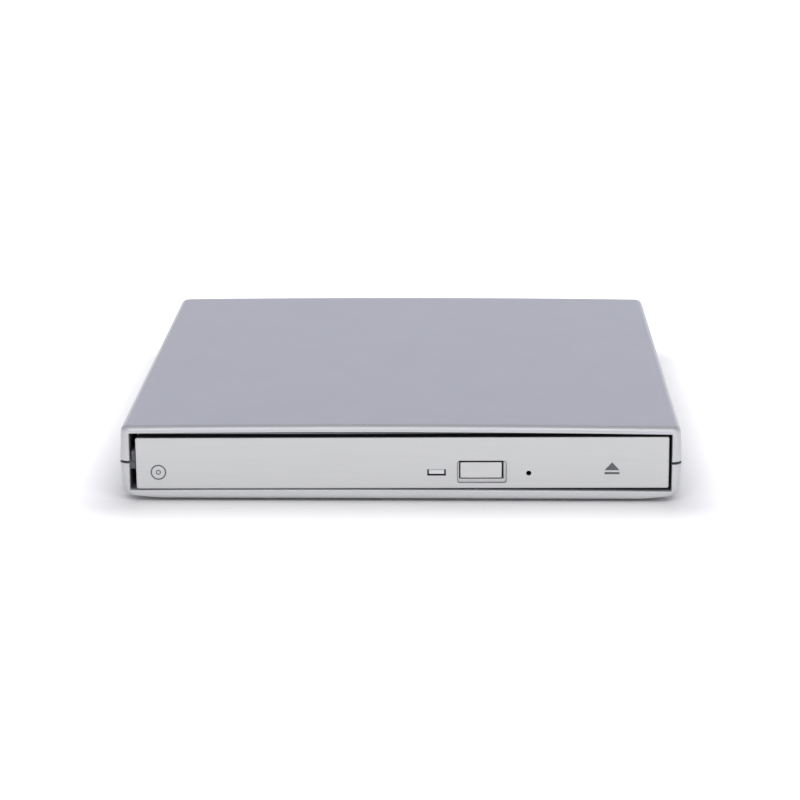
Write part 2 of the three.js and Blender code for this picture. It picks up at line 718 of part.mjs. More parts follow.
function spindleHub() {
  let hub = turned([
    [0, 11.4],
    [7.35, 11.4],
    [7.35, 12.4],
    [6.7, 13.1],
    [2.6, 13.3],
    [2.2, 12.9],
    [0, 12.9],
  ]);
  const slot = block([CLAW.from - 0.9, 8], [-CLAW.half - GAP, CLAW.half + GAP], [CLAW.z[0] - 0.2, 20]);
  for (const turn of [0, 120, 240]) {
    hub = cut(hub, slot.rotate([0, 0, turn]));
  }
  return hub;
}

function claw() {
  const { from, to, half, z } = CLAW;
  const profile = outline([
    [from, z[0]],
    [to - 0.4, z[0]],
    [to, z[0] + 0.5],
    [to - 0.5, z[1]],
    [from, z[1]],
  ]);
  return prismAlongY(profile, [-half, half]);
}

// ---------------------------------------------------------------- traverse

// The plate that carries the disc motor, the two guide rods and the lead screw.
function traverseFrame() {
  const rim = outline([
    [-17, -18],
    [57.5, -20],
    [65.2, -14.2],
    [65.2, 17],
    [60.8, 24],
    [-11, 25.5],
    [-17, 19],
  ]);
  let frame = prism(rim, FRAME_PLATE);
  for (const [along, across] of DAMPERS) {
    frame = join(frame, post(4.2, FRAME_PLATE, along, across, 20));
  }
  const opening = outline([
    [13.5, -15.3],
    [61.8, -15.3],
    [61.8, 18.4],
    [57.8, 18.4],
    [57.8, 23.2],
    [-9, 23.2],
    [-9, 17.2],
    [13.5, 17.2],
  ]);
  frame = cut(frame, prism(opening, [0, 20]), post(12, [0, 20], 0, 0, 40));
  for (const [along, across] of DAMPERS) {
    frame = cut(frame, post(2.7, [0, 20], along, across, 20));
  }
  const holders = [
    [[10, 13.5], RODS.main],
    [[61.8, 65.2], RODS.main],
    [[10, 13.5], RODS.sub],
    [[61.8, 64.6], RODS.sub],
    [[57.8, 60.6], SCREW.across],
  ];
  for (const [along, across] of holders) {
    frame = join(frame, block(along, [across - 1.9, across + 1.9], [FRAME_PLATE[0], 9.2]));
  }
  for (const across of [RODS.main, RODS.sub]) {
    frame = cut(frame, rodAlongX(RODS.r + GAP, [9, 66], across, ROD_Z));
  }
  return cut(frame, rodAlongX(1.1, [57, 62], SCREW.across, ROD_Z));
}

const damper = () =>
  turned([
    [1.5, 5],
    [3.6, 5],
    [3.6, 5.3],
    [2.4, 5.3],
    [2.4, 7.5],
    [3.6, 7.5],
    [3.6, 8.1],
    [1.5, 8.1],
    [1.5, 5],
  ], 20);

const guideRod = (across) => rodAlongX(RODS.r, [RODS.from, RODS.to], across, ROD_Z);

function spindleMotorBase() {
  const base = turned([
    [0, 5.1],
    [11.6, 5.1],
    [11.6, 6.2],
    [9.5, 6.4],
    [9.5, 7],
    [4, 7],
    [0, 7],
  ], 40);
  return cut(base, post(1.5, [5.4, 20], 0, 0, 16));
}

function sledMotor() {
  const can = rodAlongX(2.2, [-8, 6.2], SCREW.across, ROD_Z, 20);
  return join(can, rodAlongX(1, [-8.6, 6.3], SCREW.across, ROD_Z, 12));
}

function leadScrew() {
  const { r } = SCREW;
  const shaft = turnedAlongX([
    [0, 6.6],
    [0.8, 6.6],
    [0.8, 7.6],
    [r, 8.2],
    [r, 57.2],
    [0.8, 57.5],
    [0.8, 60.3],
    [0, 60.3],
  ]);
  return shaft.translate([0, SCREW.across, ROD_Z]);
}

const SLED = { along: [15.5, 29], across: [-11, 17.1], z: [5.3, 9.2] };

// The die-cast sled: a sleeve on the main rod, a fork on the other rod and a well for the lens.
function pickupBody() {
  const lens = LENS.start;
  let body = block(SLED.along, SLED.across, SLED.z);
  body = join(body, block([20, 26.5], [-14.8, -10], [5.4, 9.2]));
  body = join(body, block([lens - 3.2, lens + 3.2], [-4.2, 4.2], [8, 9.9]));
  body = cut(body, block([19, 27], [-20, -11.4], [ROD_Z - 1.5, ROD_Z + 1.5]));
  body = cut(body, rodAlongX(RODS.r + GAP, [10, 40], RODS.main, ROD_Z));
  return cut(body, block([lens - 2.9, lens + 2.9], [-3.9, 3.9], [7.2, 20]));
}

const rackFollower = () => block([20, 25.8], [SLED.across[1] + GAP, 18.6], [ROD_Z - 1, ROD_Z + 1]);

// The lens holder with the lens moulded into its top.
function objectiveLens() {
  const x = LENS.start;
  const holder = block([x - 2.5, x + 2.5], [-3.4, 3.4], [7.9, 10]);
  const dome = turned([
    [0, 9.8],
    [1.9, 9.8],
    [1.9, 10.1],
    [1.5, 10.4],
    [0.8, 10.6],
    [0, 10.65],
  ], 20);
  return join(holder, dome.translate([x, 0, 0]));
}

// ---------------------------------------------------------------- assembly

function enclosure() {
  const group = new THREE.Group();
  group.add(node("top_case", topCase(), MATERIAL.case));
  group.add(node("bottom_case", bottomCase(), MATERIAL.case));
  for (const [end, y] of [["front", -FOOT.y], ["rear", FOOT.y]]) {
    for (const [side, x] of [["left", -FOOT.x], ["right", FOOT.x]]) {
      const pad = node(`foot_${end}_${side}`, foot(), MATERIAL.rubber);
      pad.position.set(x, y, 0);
      group.add(pad);
    }
  }
  const caseScrew = { head: 2.4, headZ: [1.2, 2.4], shank: 1.25, tip: 13.5, slot: 1.4 };
  const driveScrew = { head: 2.1, headZ: [1.1, 2], shank: 1, tip: 4.2, slot: 1.2 };
  for (const [side, sign] of [["left", -1], ["right", 1]]) {
    const long = node(`case_screw_${side}`, screw(caseScrew), MATERIAL.screw);
    long.position.set(sign * CASE_SCREW.x, CASE_SCREW.y, 0);
    const short = node(`drive_screw_${side}`, screw(driveScrew), MATERIAL.screw);
    short.position.set(sign * DRIVE_SCREW.x, DRIVE_SCREW.y, 0);
    group.add(long, short);
  }
  return group;
}

function bridge() {
  const group = new THREE.Group();
  const top = BRIDGE_BOARD[1];
  group.add(node("bridge_board", bridgeBoard(), MATERIAL.board));
  group.add(node("bridge_chip", chip(2, 65.5, 6, top, 1), MATERIAL.chip));
  group.add(node("bridge_plug", bridgePlug(), MATERIAL.chip));
  group.add(node("usb_socket", usbShell(), MATERIAL.plate));
  group.add(node("usb_socket_tongue", usbTongue(), MATERIAL.chip));
  group.add(node("power_socket", powerSocket(), MATERIAL.chip));
  group.add(node("capacitor", post(2.4, [top, 10.6], -6, 65.4, 20), MATERIAL.plate));
  return group;
}

function fixedDrive() {
  const group = new THREE.Group();
  group.add(node("drive_chassis", driveChassis(), MATERIAL.plate));
  group.add(node("drive_cover", driveCover(), MATERIAL.plate));
  group.add(node("main_board", mainBoard(), MATERIAL.board));
  group.add(node("main_chip", chip(6, 44, 13, BOARD[1], 1.2), MATERIAL.chip));
  group.add(node("drive_sata_socket", sataSocket(), MATERIAL.chip));
  group.add(node("board_ribbon_socket", boardRibbonSocket(), MATERIAL.connector));
  group.add(node("ribbon_cable", ribbonCable(), MATERIAL.ribbon));
  group.add(node("latch_pin", latchPin(), MATERIAL.rod));
  for (const [side, sign] of [["left", -1], ["right", 1]]) {
    group.add(node(`outer_rail_${side}`, sided(outerRail(), sign), MATERIAL.rail));
    group.add(node(`middle_rail_${side}`, sided(middleRail(), sign), MATERIAL.rail));
  }
  return group;
}

function trayUnit() {
  const group = new THREE.Group();
  group.add(node("tray", tray(), MATERIAL.tray));
  group.add(trayFace());
  group.add(node("front_board", frontBoard(), MATERIAL.board));
  group.add(node("activity_led", activityLed(), MATERIAL.lightPipe));
  group.add(node("eject_switch", ejectSwitch(), MATERIAL.chip));
  group.add(node("tray_shield", trayShield(), MATERIAL.plate));
  group.add(node("tray_ribbon_socket", trayRibbonSocket(), MATERIAL.connector));
  group.add(node("lock_solenoid", solenoid(), MATERIAL.coil));
  group.add(node("solenoid_plunger", solenoidPlunger(), MATERIAL.rod));
  group.add(node("ejector_plunger", ejectorPlunger(), MATERIAL.rod));
  const lever = node("lock_lever", lockLever(), MATERIAL.connector);
  lever.position.set(LEVER.x, LEVER.y, 0);
  lever.rotation.z = LEVER.open;
  group.add(lever);
  return group;
}

// The bezel with what is set in it, turned a little about its middle.
function trayFace() {
  const middle = (BEZEL_Z[0] + BEZEL_Z[1]) / 2;
  const level = new THREE.Group();
  level.position.z = -middle;
  level.add(node("bezel", bezel(), MATERIAL.bezel));
  level.add(node("eject_button", ejectButton(), MATERIAL.button));
  level.add(node("led_window", ledWindow(), MATERIAL.lightPipe));
  const group = new THREE.Group();
  group.position.z = middle;
  group.rotation.y = -BEZEL_TILT;
  group.add(level);
  return group;
}

function spindle() {
  const group = new THREE.Group();
  group.position.y = SPINDLE_Y;
  group.add(node("turntable", turntable(), MATERIAL.plate));
  group.add(node("turntable_pad", turntablePad(), MATERIAL.rubber));
  group.add(node("spindle_hub", spindleHub(), MATERIAL.darkPlastic));
  for (const i of [0, 1, 2]) {
    const grip = node(`disc_claw_${i + 1}`, claw(), MATERIAL.connector);
    grip.rotation.z = (i * 2 * Math.PI) / 3;
    group.add(grip);
  }
  return group;
}

function traverse() {
  const group = new THREE.Group();
  group.position.y = SPINDLE_Y;
  group.rotation.z = TRAVERSE_TURN;
  group.add(node("traverse_frame", traverseFrame(), MATERIAL.plate));
  DAMPERS.forEach(([along, across], i) => {
    const ring = node(`traverse_damper_${i + 1}`, damper(), MATERIAL.rubber);
    ring.position.set(along, across, 0);
    group.add(ring);
  });
  group.add(node("guide_rod_main", guideRod(RODS.main), MATERIAL.rod));
  group.add(node("guide_rod_sub", guideRod(RODS.sub), MATERIAL.rod));
  group.add(node("spindle_motor_base", spindleMotorBase(), MATERIAL.plate));
  group.add(node("sled_motor", sledMotor(), MATERIAL.plate));
  group.add(node("lead_screw", leadScrew(), MATERIAL.rod));
  group.add(node("pickup_body", pickupBody(), MATERIAL.casting));
  group.add(node("rack_follower", rackFollower(), MATERIAL.connector));
  group.add(node("objective_lens", objectiveLens(), MATERIAL.lens));
  return group;
}

const opticalDrive = new THREE.Group();
const drive = new THREE.Group();
drive.position.x = DRIVE.x;
drive.add(fixedDrive(), trayUnit(), spindle(), traverse());
opticalDrive.add(enclosure(), bridge(), drive);

export default opticalDrive;
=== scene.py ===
"""The looks of an external slim optical drive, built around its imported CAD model.

Shapes are worked out in millimetres, in the frame of the CAD model, and turned into metres when a
piece is made. +X is to the right as seen from the bezel, +Y runs from the bezel to the sockets and
+Z is up.
"""

import json
import math

import bmesh
import bpy
from mathutils import Matrix, Vector


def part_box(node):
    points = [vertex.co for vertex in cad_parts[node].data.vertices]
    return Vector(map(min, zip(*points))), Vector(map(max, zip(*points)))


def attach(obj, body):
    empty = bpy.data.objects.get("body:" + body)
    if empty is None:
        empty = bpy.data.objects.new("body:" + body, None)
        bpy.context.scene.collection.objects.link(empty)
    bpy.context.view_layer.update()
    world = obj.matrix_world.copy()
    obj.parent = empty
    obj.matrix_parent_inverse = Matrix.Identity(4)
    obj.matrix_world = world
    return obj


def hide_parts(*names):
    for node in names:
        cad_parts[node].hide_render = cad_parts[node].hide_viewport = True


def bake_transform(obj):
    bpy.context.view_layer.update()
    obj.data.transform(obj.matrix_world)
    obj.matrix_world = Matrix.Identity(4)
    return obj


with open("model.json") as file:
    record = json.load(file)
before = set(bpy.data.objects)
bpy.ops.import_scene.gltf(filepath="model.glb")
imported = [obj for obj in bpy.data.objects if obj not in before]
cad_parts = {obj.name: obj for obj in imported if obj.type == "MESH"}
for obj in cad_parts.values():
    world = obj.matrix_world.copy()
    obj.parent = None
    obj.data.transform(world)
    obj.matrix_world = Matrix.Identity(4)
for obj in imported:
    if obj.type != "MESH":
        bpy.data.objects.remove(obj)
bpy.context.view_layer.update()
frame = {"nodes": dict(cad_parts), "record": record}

MM = 0.001
MOST_MATERIALS = 3
RECORD = frame["record"]
BODY_OF = {n: body for body, nodes in RECORD["behaviour"]["bodies"].items() for n in nodes}
SLOT_OF = {part["node"]: part["material_slot"] for part in RECORD["subparts"]}


def corners(node):
    """The lowest and highest corner of a CAD node, in millimetres."""
    low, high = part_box(node)
    return low / MM, high / MM


def middle(node):
    low, high = corners(node)
    return (low + high) / 2


# ---------------------------------------------------------------- driving dimensions, millimetres

GAP = 0.3
CASE_LOW = corners("bottom_case")[0]
CASE_HIGH = corners("top_case")[1]
HALF = CASE_HIGH.x
FRONT, BACK = CASE_LOW.y, CASE_HIGH.y
CASE = {"underside": CASE_LOW.z, "top": 18.7, "seam": 9.9, "plan_round": 2.5, "edge_round": 1.5}
CASE["crown"] = CASE_HIGH.z - CASE["top"]
INSIDE = {"x": HALF - 2.5, "back": BACK - 1.8, "floor": CASE["underside"] + 2.05, "roof": CASE["top"] - 1.7}
FLOOR_BOW = 0.25
MOUTH_ROUND = 0.3
INNER_ROUND = 0.3
SEAM_HALF, SEAM_LIP, SEAM_FACE = 0.3, 0.06, 1.2
SCREW_BORE = 1.55
CORNERS = [f"{end}_{side}" for end in ("front", "rear") for side in ("left", "right")]

DRIVE_X = 0.4
BEZEL = {"half": 64, "low": 3.4, "high": 16.08, "front": FRONT + GAP, "tilt": 0.0045}
BEZEL["back"] = BEZEL["front"] + 3.9 - GAP
BODY_FRONT = BEZEL["front"] + 3.9
BUTTON = {"x": (14.05, 24), "z": (6, 9.9)}
LAMP = {"x": (6.5, 10.2), "z": (7, 8.15)}
RELEASE_HOLE = {"x": 30.45, "z": 7.2, "r": 0.6}

SPINDLE = middle("turntable")
TRAVERSE_TURN = -math.pi * 0.75
TRAVERSE = Matrix.Translation((SPINDLE.x, SPINDLE.y, 0)) @ Matrix.Rotation(TRAVERSE_TURN, 4, "Z")


# ---------------------------------------------------------------- mesh kit


def loft(rings, caps=True):
    """A skin through rings of equally many points. The first and last ring are closed with a face."""
    bm = bmesh.new()
    rows = [[bm.verts.new(p) for p in ring] for ring in rings]
    pairs = list(zip(rows, rows[1:]))
    if not caps:
        pairs.append((rows[-1], rows[0]))
    for low, high in pairs:
        for i, corner in enumerate(low):
            j = (i + 1) % len(low)
            bm.faces.new((corner, low[j], high[j], high[i]))
    if caps:
        bm.faces.new(rows[0])
        bm.faces.new(rows[-1])
    bmesh.ops.recalc_face_normals(bm, faces=bm.faces)
    return bm


def across(axis, height, points):
    """Points of a plane across an axis, as points in space."""
    if axis == "X":
        return [(height, a, b) for a, b in points]
    if axis == "Y":
        return [(a, height, b) for a, b in points]
    return [(a, b, height) for a, b in points]


def placed(bm, matrix):
    bm.transform(matrix)
    return bm


def prism(points, axis, low, high):
    return loft([across(axis, low, points), across(axis, high, points)])


def block(x, y, z):
    return prism([(x[0], y[0]), (x[1], y[0]), (x[1], y[1]), (x[0], y[1])], "Z", *z)


def rounded(points, radius, steps=4, closed=True):
    """An outline with its corners rounded, by no more than half of each neighbouring side."""
    made = []
    count = len(points)
    for i, corner in enumerate(points):
        corner = Vector(corner)
        if not closed and i in (0, count - 1):
            made.append(tuple(corner))
            continue
        before, after = Vector(points[i - 1]), Vector(points[(i + 1) % count])
        reach_in = min(radius, (before - corner).length * 0.49)
        reach_out = min(radius, (after - corner).length * 0.49)
        start = corner + (before - corner).normalized() * reach_in
        end = corner + (after - corner).normalized() * reach_out
        for k in range(steps + 1):
            t = k / steps
            made.append(tuple(start * (1 - t) ** 2 + corner * 2 * t * (1 - t) + end * t * t))
    return made


def rectangle(x, z, radius, steps=5):
    return rounded([(x[0], z[0]), (x[1], z[0]), (x[1], z[1]), (x[0], z[1])], radius, steps)


def grown(steps, x, z, corner, sides=5, follow=False):
    """A skin along Y through rectangles that are grown all round: a step is a depth and an amount."""
    rings = []
    for y, grow in steps:
        sides_x, sides_z = (x[0] - grow, x[1] + grow), (z[0] - grow, z[1] + grow)
        rings.append(across("Y", y, rectangle(sides_x, sides_z, corner + grow * follow, sides)))
    return loft(rings)


def turned_to(axis):
    """The turn that lays a shape made along Z along another axis."""
    if axis == "X":
        return Matrix.Rotation(math.pi / 2, 4, "Y")
    if axis == "Y":
        return Matrix.Rotation(-math.pi / 2, 4, "X")
    return Matrix.Identity(4)


def lathe(profile, at=(0, 0, 0), axis="Z", steps=48):
    """A turned solid. Its profile is points of radius and height, from the axis back to the axis, or
    a closed ring of points that stay off the axis."""
    bm = bmesh.new()
    rings = []
    for radius, height in profile:
        if radius == 0:
            rings.append([bm.verts.new((0, 0, height))])
            continue
        turns = [2 * math.pi * k / steps for k in range(steps)]
        rings.append([bm.verts.new((radius * math.cos(a), radius * math.sin(a), height)) for a in turns])
    pairs = list(zip(rings, rings[1:]))
    if profile[0][0] > 0:
        pairs.append((rings[-1], rings[0]))
    for low, high in pairs:
        for k in range(steps):
            j = (k + 1) % steps
            loop = [low[k % len(low)], low[j % len(low)], high[j % len(high)], high[k % len(high)]]
            face = list(dict.fromkeys(loop))
            if len(face) > 2:
                bm.faces.new(face)
    bmesh.ops.recalc_face_normals(bm, faces=bm.faces)
    return placed(bm, Matrix.Translation(at) @ turned_to(axis))


def column(radius, low, high, x=0, y=0, steps=48):
    """A plain upright cylinder."""
    return lathe([(0, low), (radius, low), (radius, high), (0, high)], (x, y, 0), steps=steps)


def washer(inner, outer, low, high, at, steps=48):
    """A ring of rectangular section around an axis along Y."""
    return lathe([(inner, low), (outer, low), (outer, high), (inner, high)], at, "Y", steps)


def rod(radius, length, at, axis="Z", edge=0.15, steps=32):
    """A round rod with softened ends, from at along an axis."""
    outline = [(0, 0), (radius, 0), (radius, length), (0, length)]
    return lathe(rounded(outline, edge, 3, closed=False), at, axis, steps)


def helix_tube(radius, wire, turns, length, at, steps=20, sides=8):
    """A spring of round wire along Y."""
    rings = []
    count = int(turns * steps)
    for i in range(count + 1):
        turn = 2 * math.pi * turns * i / count
        height = wire + (length - 2 * wire) * i / count
        points = []
        for k in range(sides):
            a = 2 * math.pi * k / sides
            out = radius + wire * math.cos(a)
            points.append((out * math.cos(turn), out * math.sin(turn), height + wire * math.sin(a)))
        rings.append(points)
    return placed(loft(rings), Matrix.Translation(at) @ turned_to("Y"))


def together(*shapes):
    """Several closed shapes as one mesh."""
    whole = bmesh.new()
    for shape in shapes:
        mesh = bpy.data.meshes.new("part")
        shape.to_mesh(mesh)
        shape.free()
        whole.from_mesh(mesh)
        bpy.data.meshes.remove(mesh)
    return whole


def paint(bm, index, where=lambda centre: True):
    """Gives the faces whose centre passes a test a material of the piece, by its place in the list."""
    for face in bm.faces:
        if where(face.calc_center_median()):
            face.material_index = index
    return bm


def soften(bm, width, segments=2, above=40):
    """Rounds each edge that turns by more than an angle."""
    limit = math.radians(above)
    sharp = [e for e in bm.edges if len(e.link_faces) == 2 and e.calc_face_angle() > limit]
    bmesh.ops.bevel(
        bm, geom=sharp, offset=width, segments=segments, profile=0.5, affect="EDGES", clamp_overlap=True
    )
    return bm


def added(name, data):
    """A new object of the scene, holding some data."""
    made = bpy.data.objects.new(name, data)
    bpy.context.scene.collection.objects.link(made)
    return made


def combined(base, tool, operation="DIFFERENCE"):
    """The boolean of two closed shapes. Faces keep the material index that they have."""
    blanks = [bpy.data.materials.new(f"blank_{i}") for i in range(MOST_MATERIALS)]
    objects = []
    for shape in (base, tool):
        mesh = bpy.data.meshes.new("shape")
        shape.to_mesh(mesh)
        shape.free()
        for blank in blanks:
            mesh.materials.append(blank)
        objects.append(added("shape", mesh))
    step = objects[0].modifiers.new("combine", "BOOLEAN")
    step.object = objects[1]
    step.operation = operation
    step.solver = "EXACT"
    depsgraph = bpy.context.evaluated_depsgraph_get()
    made = objects[0].evaluated_get(depsgraph).to_mesh()
    bm = bmesh.new()
    bm.from_mesh(made)
    for holder in objects:
        mesh = holder.data
        bpy.data.objects.remove(holder)
        bpy.data.meshes.remove(mesh)
    for blank in blanks:
        bpy.data.materials.remove(blank)
    return bm


def less(base, *tools):
    for tool in tools:
        base = combined(base, tool)
    return base


def plus(base, *tools):
    for tool in tools:
        base = combined(base, tool, "UNION")
    return base


def piece(name, bm, slot, body, replaces=(), finishes=None, smooth=38):
    """Makes a piece of a shape in millimetres: smooth but for its sharp edges, on its body."""
    limit = math.radians(smooth)
    for face in bm.faces:
        face.smooth = True
    for edge in bm.edges:
        edge.smooth = len(edge.link_faces) == 2 and edge.calc_face_angle() < limit
    bm.transform(Matrix.Scale(MM, 4))
    mesh = bpy.data.meshes.new(name)
    bm.to_mesh(mesh)
    bm.free()
    for finish in finishes or [slot]:
        mesh.materials.append(MATERIALS[finish])
    made = added(name, mesh)
    even = made.modifiers.new("even_normals", "WEIGHTED_NORMAL")
    even.keep_sharp = True
    if body:
        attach(made, body)
    if replaces:
        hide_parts(*replaces)
    return made


def instead_of(node, bm, finishes=None, smooth=38, name=None):
    """A piece that stands for one CAD node, on that node's body."""
    return piece(name or f"{node}_shape", bm, SLOT_OF[node], BODY_OF[node], [node], finishes, smooth)


def cad_shape(node):
    """A CAD node's own solid, with its flat faces whole again."""
    bm = bmesh.new()
    bm.from_mesh(frame["nodes"][node].data)
    bm.transform(Matrix.Scale(1 / MM, 4))
    bmesh.ops.remove_doubles(bm, verts=bm.verts, dist=0.002)
    bmesh.ops.dissolve_limit(bm, angle_limit=math.radians(0.5), verts=bm.verts, edges=bm.edges)
    return bm


# ---------------------------------------------------------------- materials

MATERIALS = {}
CLOUD = 9
CONDUCTOR_WIDTH = 0.5


def give(tree, value, socket):
    """Links an output to a socket, or sets the socket to a value."""
    if isinstance(value, bpy.types.NodeSocket):
        tree.links.new(value, socket)
    elif socket.type == "RGBA":
        socket.default_value = (*value, 1)
    else:
        socket.default_value = value


def shader_node(tree, kind, **sockets):
    """A new shader node with its named sockets linked or set."""
    node = tree.nodes.new(f"ShaderNode{kind}")
    for label, value in sockets.items():
        give(tree, value, node.inputs[label.replace("_", " ")])
    return node


class Finish:
    """A material under construction: a principled shader and the noises that drive it."""

    def __init__(self, name, roughness=0.5, metallic=0.0, **sockets):
        self.material = bpy.data.materials.new(name)
        self.material.use_nodes = True
        self.tree = self.material.node_tree
        self.shader = self.tree.nodes["Principled BSDF"]
        for label, value in {"Roughness": roughness, "Metallic": metallic, **sockets}.items():
            self.shader.inputs[label.replace("_", " ")].default_value = value
        self.place = self.node("TexCoord").outputs["Object"]
        MATERIALS[name] = self.material

    def node(self, kind, **sockets):
        return shader_node(self.tree, kind, **sockets)

    def scaled(self, size, stretch=(1, 1, 1)):
        """The object's own coordinates, counted in steps of a size in millimetres."""
        scale = [1 / (MM * size * s) for s in stretch]
        return self.node("Mapping", Vector=self.place, Scale=scale).outputs["Vector"]

    def noise(self, size, detail=2.0, stretch=(1, 1, 1)):
        """Noise whose features are about size millimetres across, longer along a stretched axis."""
        place = self.scaled(size, stretch)
        return self.node("TexNoise", Vector=place, Scale=1, Detail=detail).outputs["Fac"]

    def cells(self, size):
        """Rounded cells, as the pebbles of a moulded grain."""
        texture = self.node("TexVoronoi", Vector=self.scaled(size), Scale=1)
        texture.feature = "SMOOTH_F1"
        return texture.outputs["Distance"]

    def spread(self, source, low, high, start=0.3, end=0.7):
        """A value stretched from the range start to end onto the range low to high."""
        ends = {"From_Min": start, "From_Max": end, "To_Min": low, "To_Max": high}
        return self.node("MapRange", Value=source, **ends).outputs["Result"]

    def mix(self, factor, first, second):
        """Two colours or outputs, mixed by a number or an output."""
        mixed = self.node("Mix")
        mixed.data_type = "RGBA"
        for value, socket in zip((factor, first, second), (mixed.inputs["Factor"], *mixed.inputs[6:8])):
            give(self.tree, value, socket)
        return mixed.outputs[2]

    def colour(self, source):
        give(self.tree, source, self.shader.inputs["Base Color"])

    def colours(self, factor, first, second):
        self.colour(self.mix(factor, first, second))

    def roughness(self, source, low, high):
        give(self.tree, self.spread(source, low, high), self.shader.inputs["Roughness"])

    def bump(self, source, height, before=None):
        """Raises the surface by up to a height in millimetres, on top of the bump before it."""
        under = {"Normal": before} if before else {}
        raised = self.node("Bump", Strength=1, Distance=height * MM, Height=source, **under).outputs["Normal"]
        give(self.tree, raised, self.shader.inputs["Normal"])
        return raised

    def maths(self, operation, *sources):
        node = self.node("Math")
        node.operation = operation
        for source, socket in zip(sources, node.inputs):
            give(self.tree, source, socket)
        return node.outputs["Value"]


def shade(colour, factor):
    return tuple(c * factor for c in colour)


def silver_paint(name, colour, metallic, roughness, streaks=False):
    """Satin metallic paint: fine flakes, a little orange peel and very slight mottling."""
    finish = Finish(name, metallic=metallic)
    flakes = finish.spread(finish.noise(0.16, detail=1), 0, 1)
    stretch = (30, 30, 1) if streaks else (1, 1, 1)
    mottling = finish.spread(finish.noise(1.1 if streaks else 14, detail=3, stretch=stretch), 0, 1)
    base = finish.mix(flakes, shade(colour, 0.95), shade(colour, 1.05))
    clouded = finish.mix(mottling, shade(colour, 0.97), shade(colour, 1.03))
    finish.colour(finish.mix(0.5, base, clouded))
    finish.roughness(finish.noise(0.5, detail=2), roughness - 0.03, roughness + 0.04)
    peel = finish.bump(finish.noise(0.9, detail=2), 0.0035)
    finish.bump(finish.noise(0.14, detail=1), 0.0012, before=peel)


def moulded_plastic(name, colour, roughness=0.55, grain=0.35, depth=0.01):
    """Plastic from a spark-eroded mould: a fine pebbled grain and uneven gloss."""
    finish = Finish(name)
    finish.colours(finish.spread(finish.noise(6, detail=4), 0, 1), shade(colour, 0.86), shade(colour, 1.14))
    finish.roughness(finish.noise(1.2, detail=3), roughness - 0.06, roughness + 0.08)
    pebbles = finish.bump(finish.cells(grain), depth)
    finish.bump(finish.noise(0.12), depth * 0.4, before=pebbles)


def metal(name, colour, roughness, stretch=(1, 1, 1), scratch=0.0015, size=0.12):
    """Bare or plated metal with drawn or rolled lines along its stretched axis."""
    finish = Finish(name, metallic=1.0)
    lines = finish.noise(size, detail=3, stretch=stretch)
    clouds = finish.spread(finish.noise(CLOUD, detail=4), 0, 1)
    finish.colours(clouds, shade(colour, 0.9), shade(colour, 1.06))
    finish.roughness(lines, roughness * 0.8, roughness * 1.25)
    finish.bump(lines, scratch)


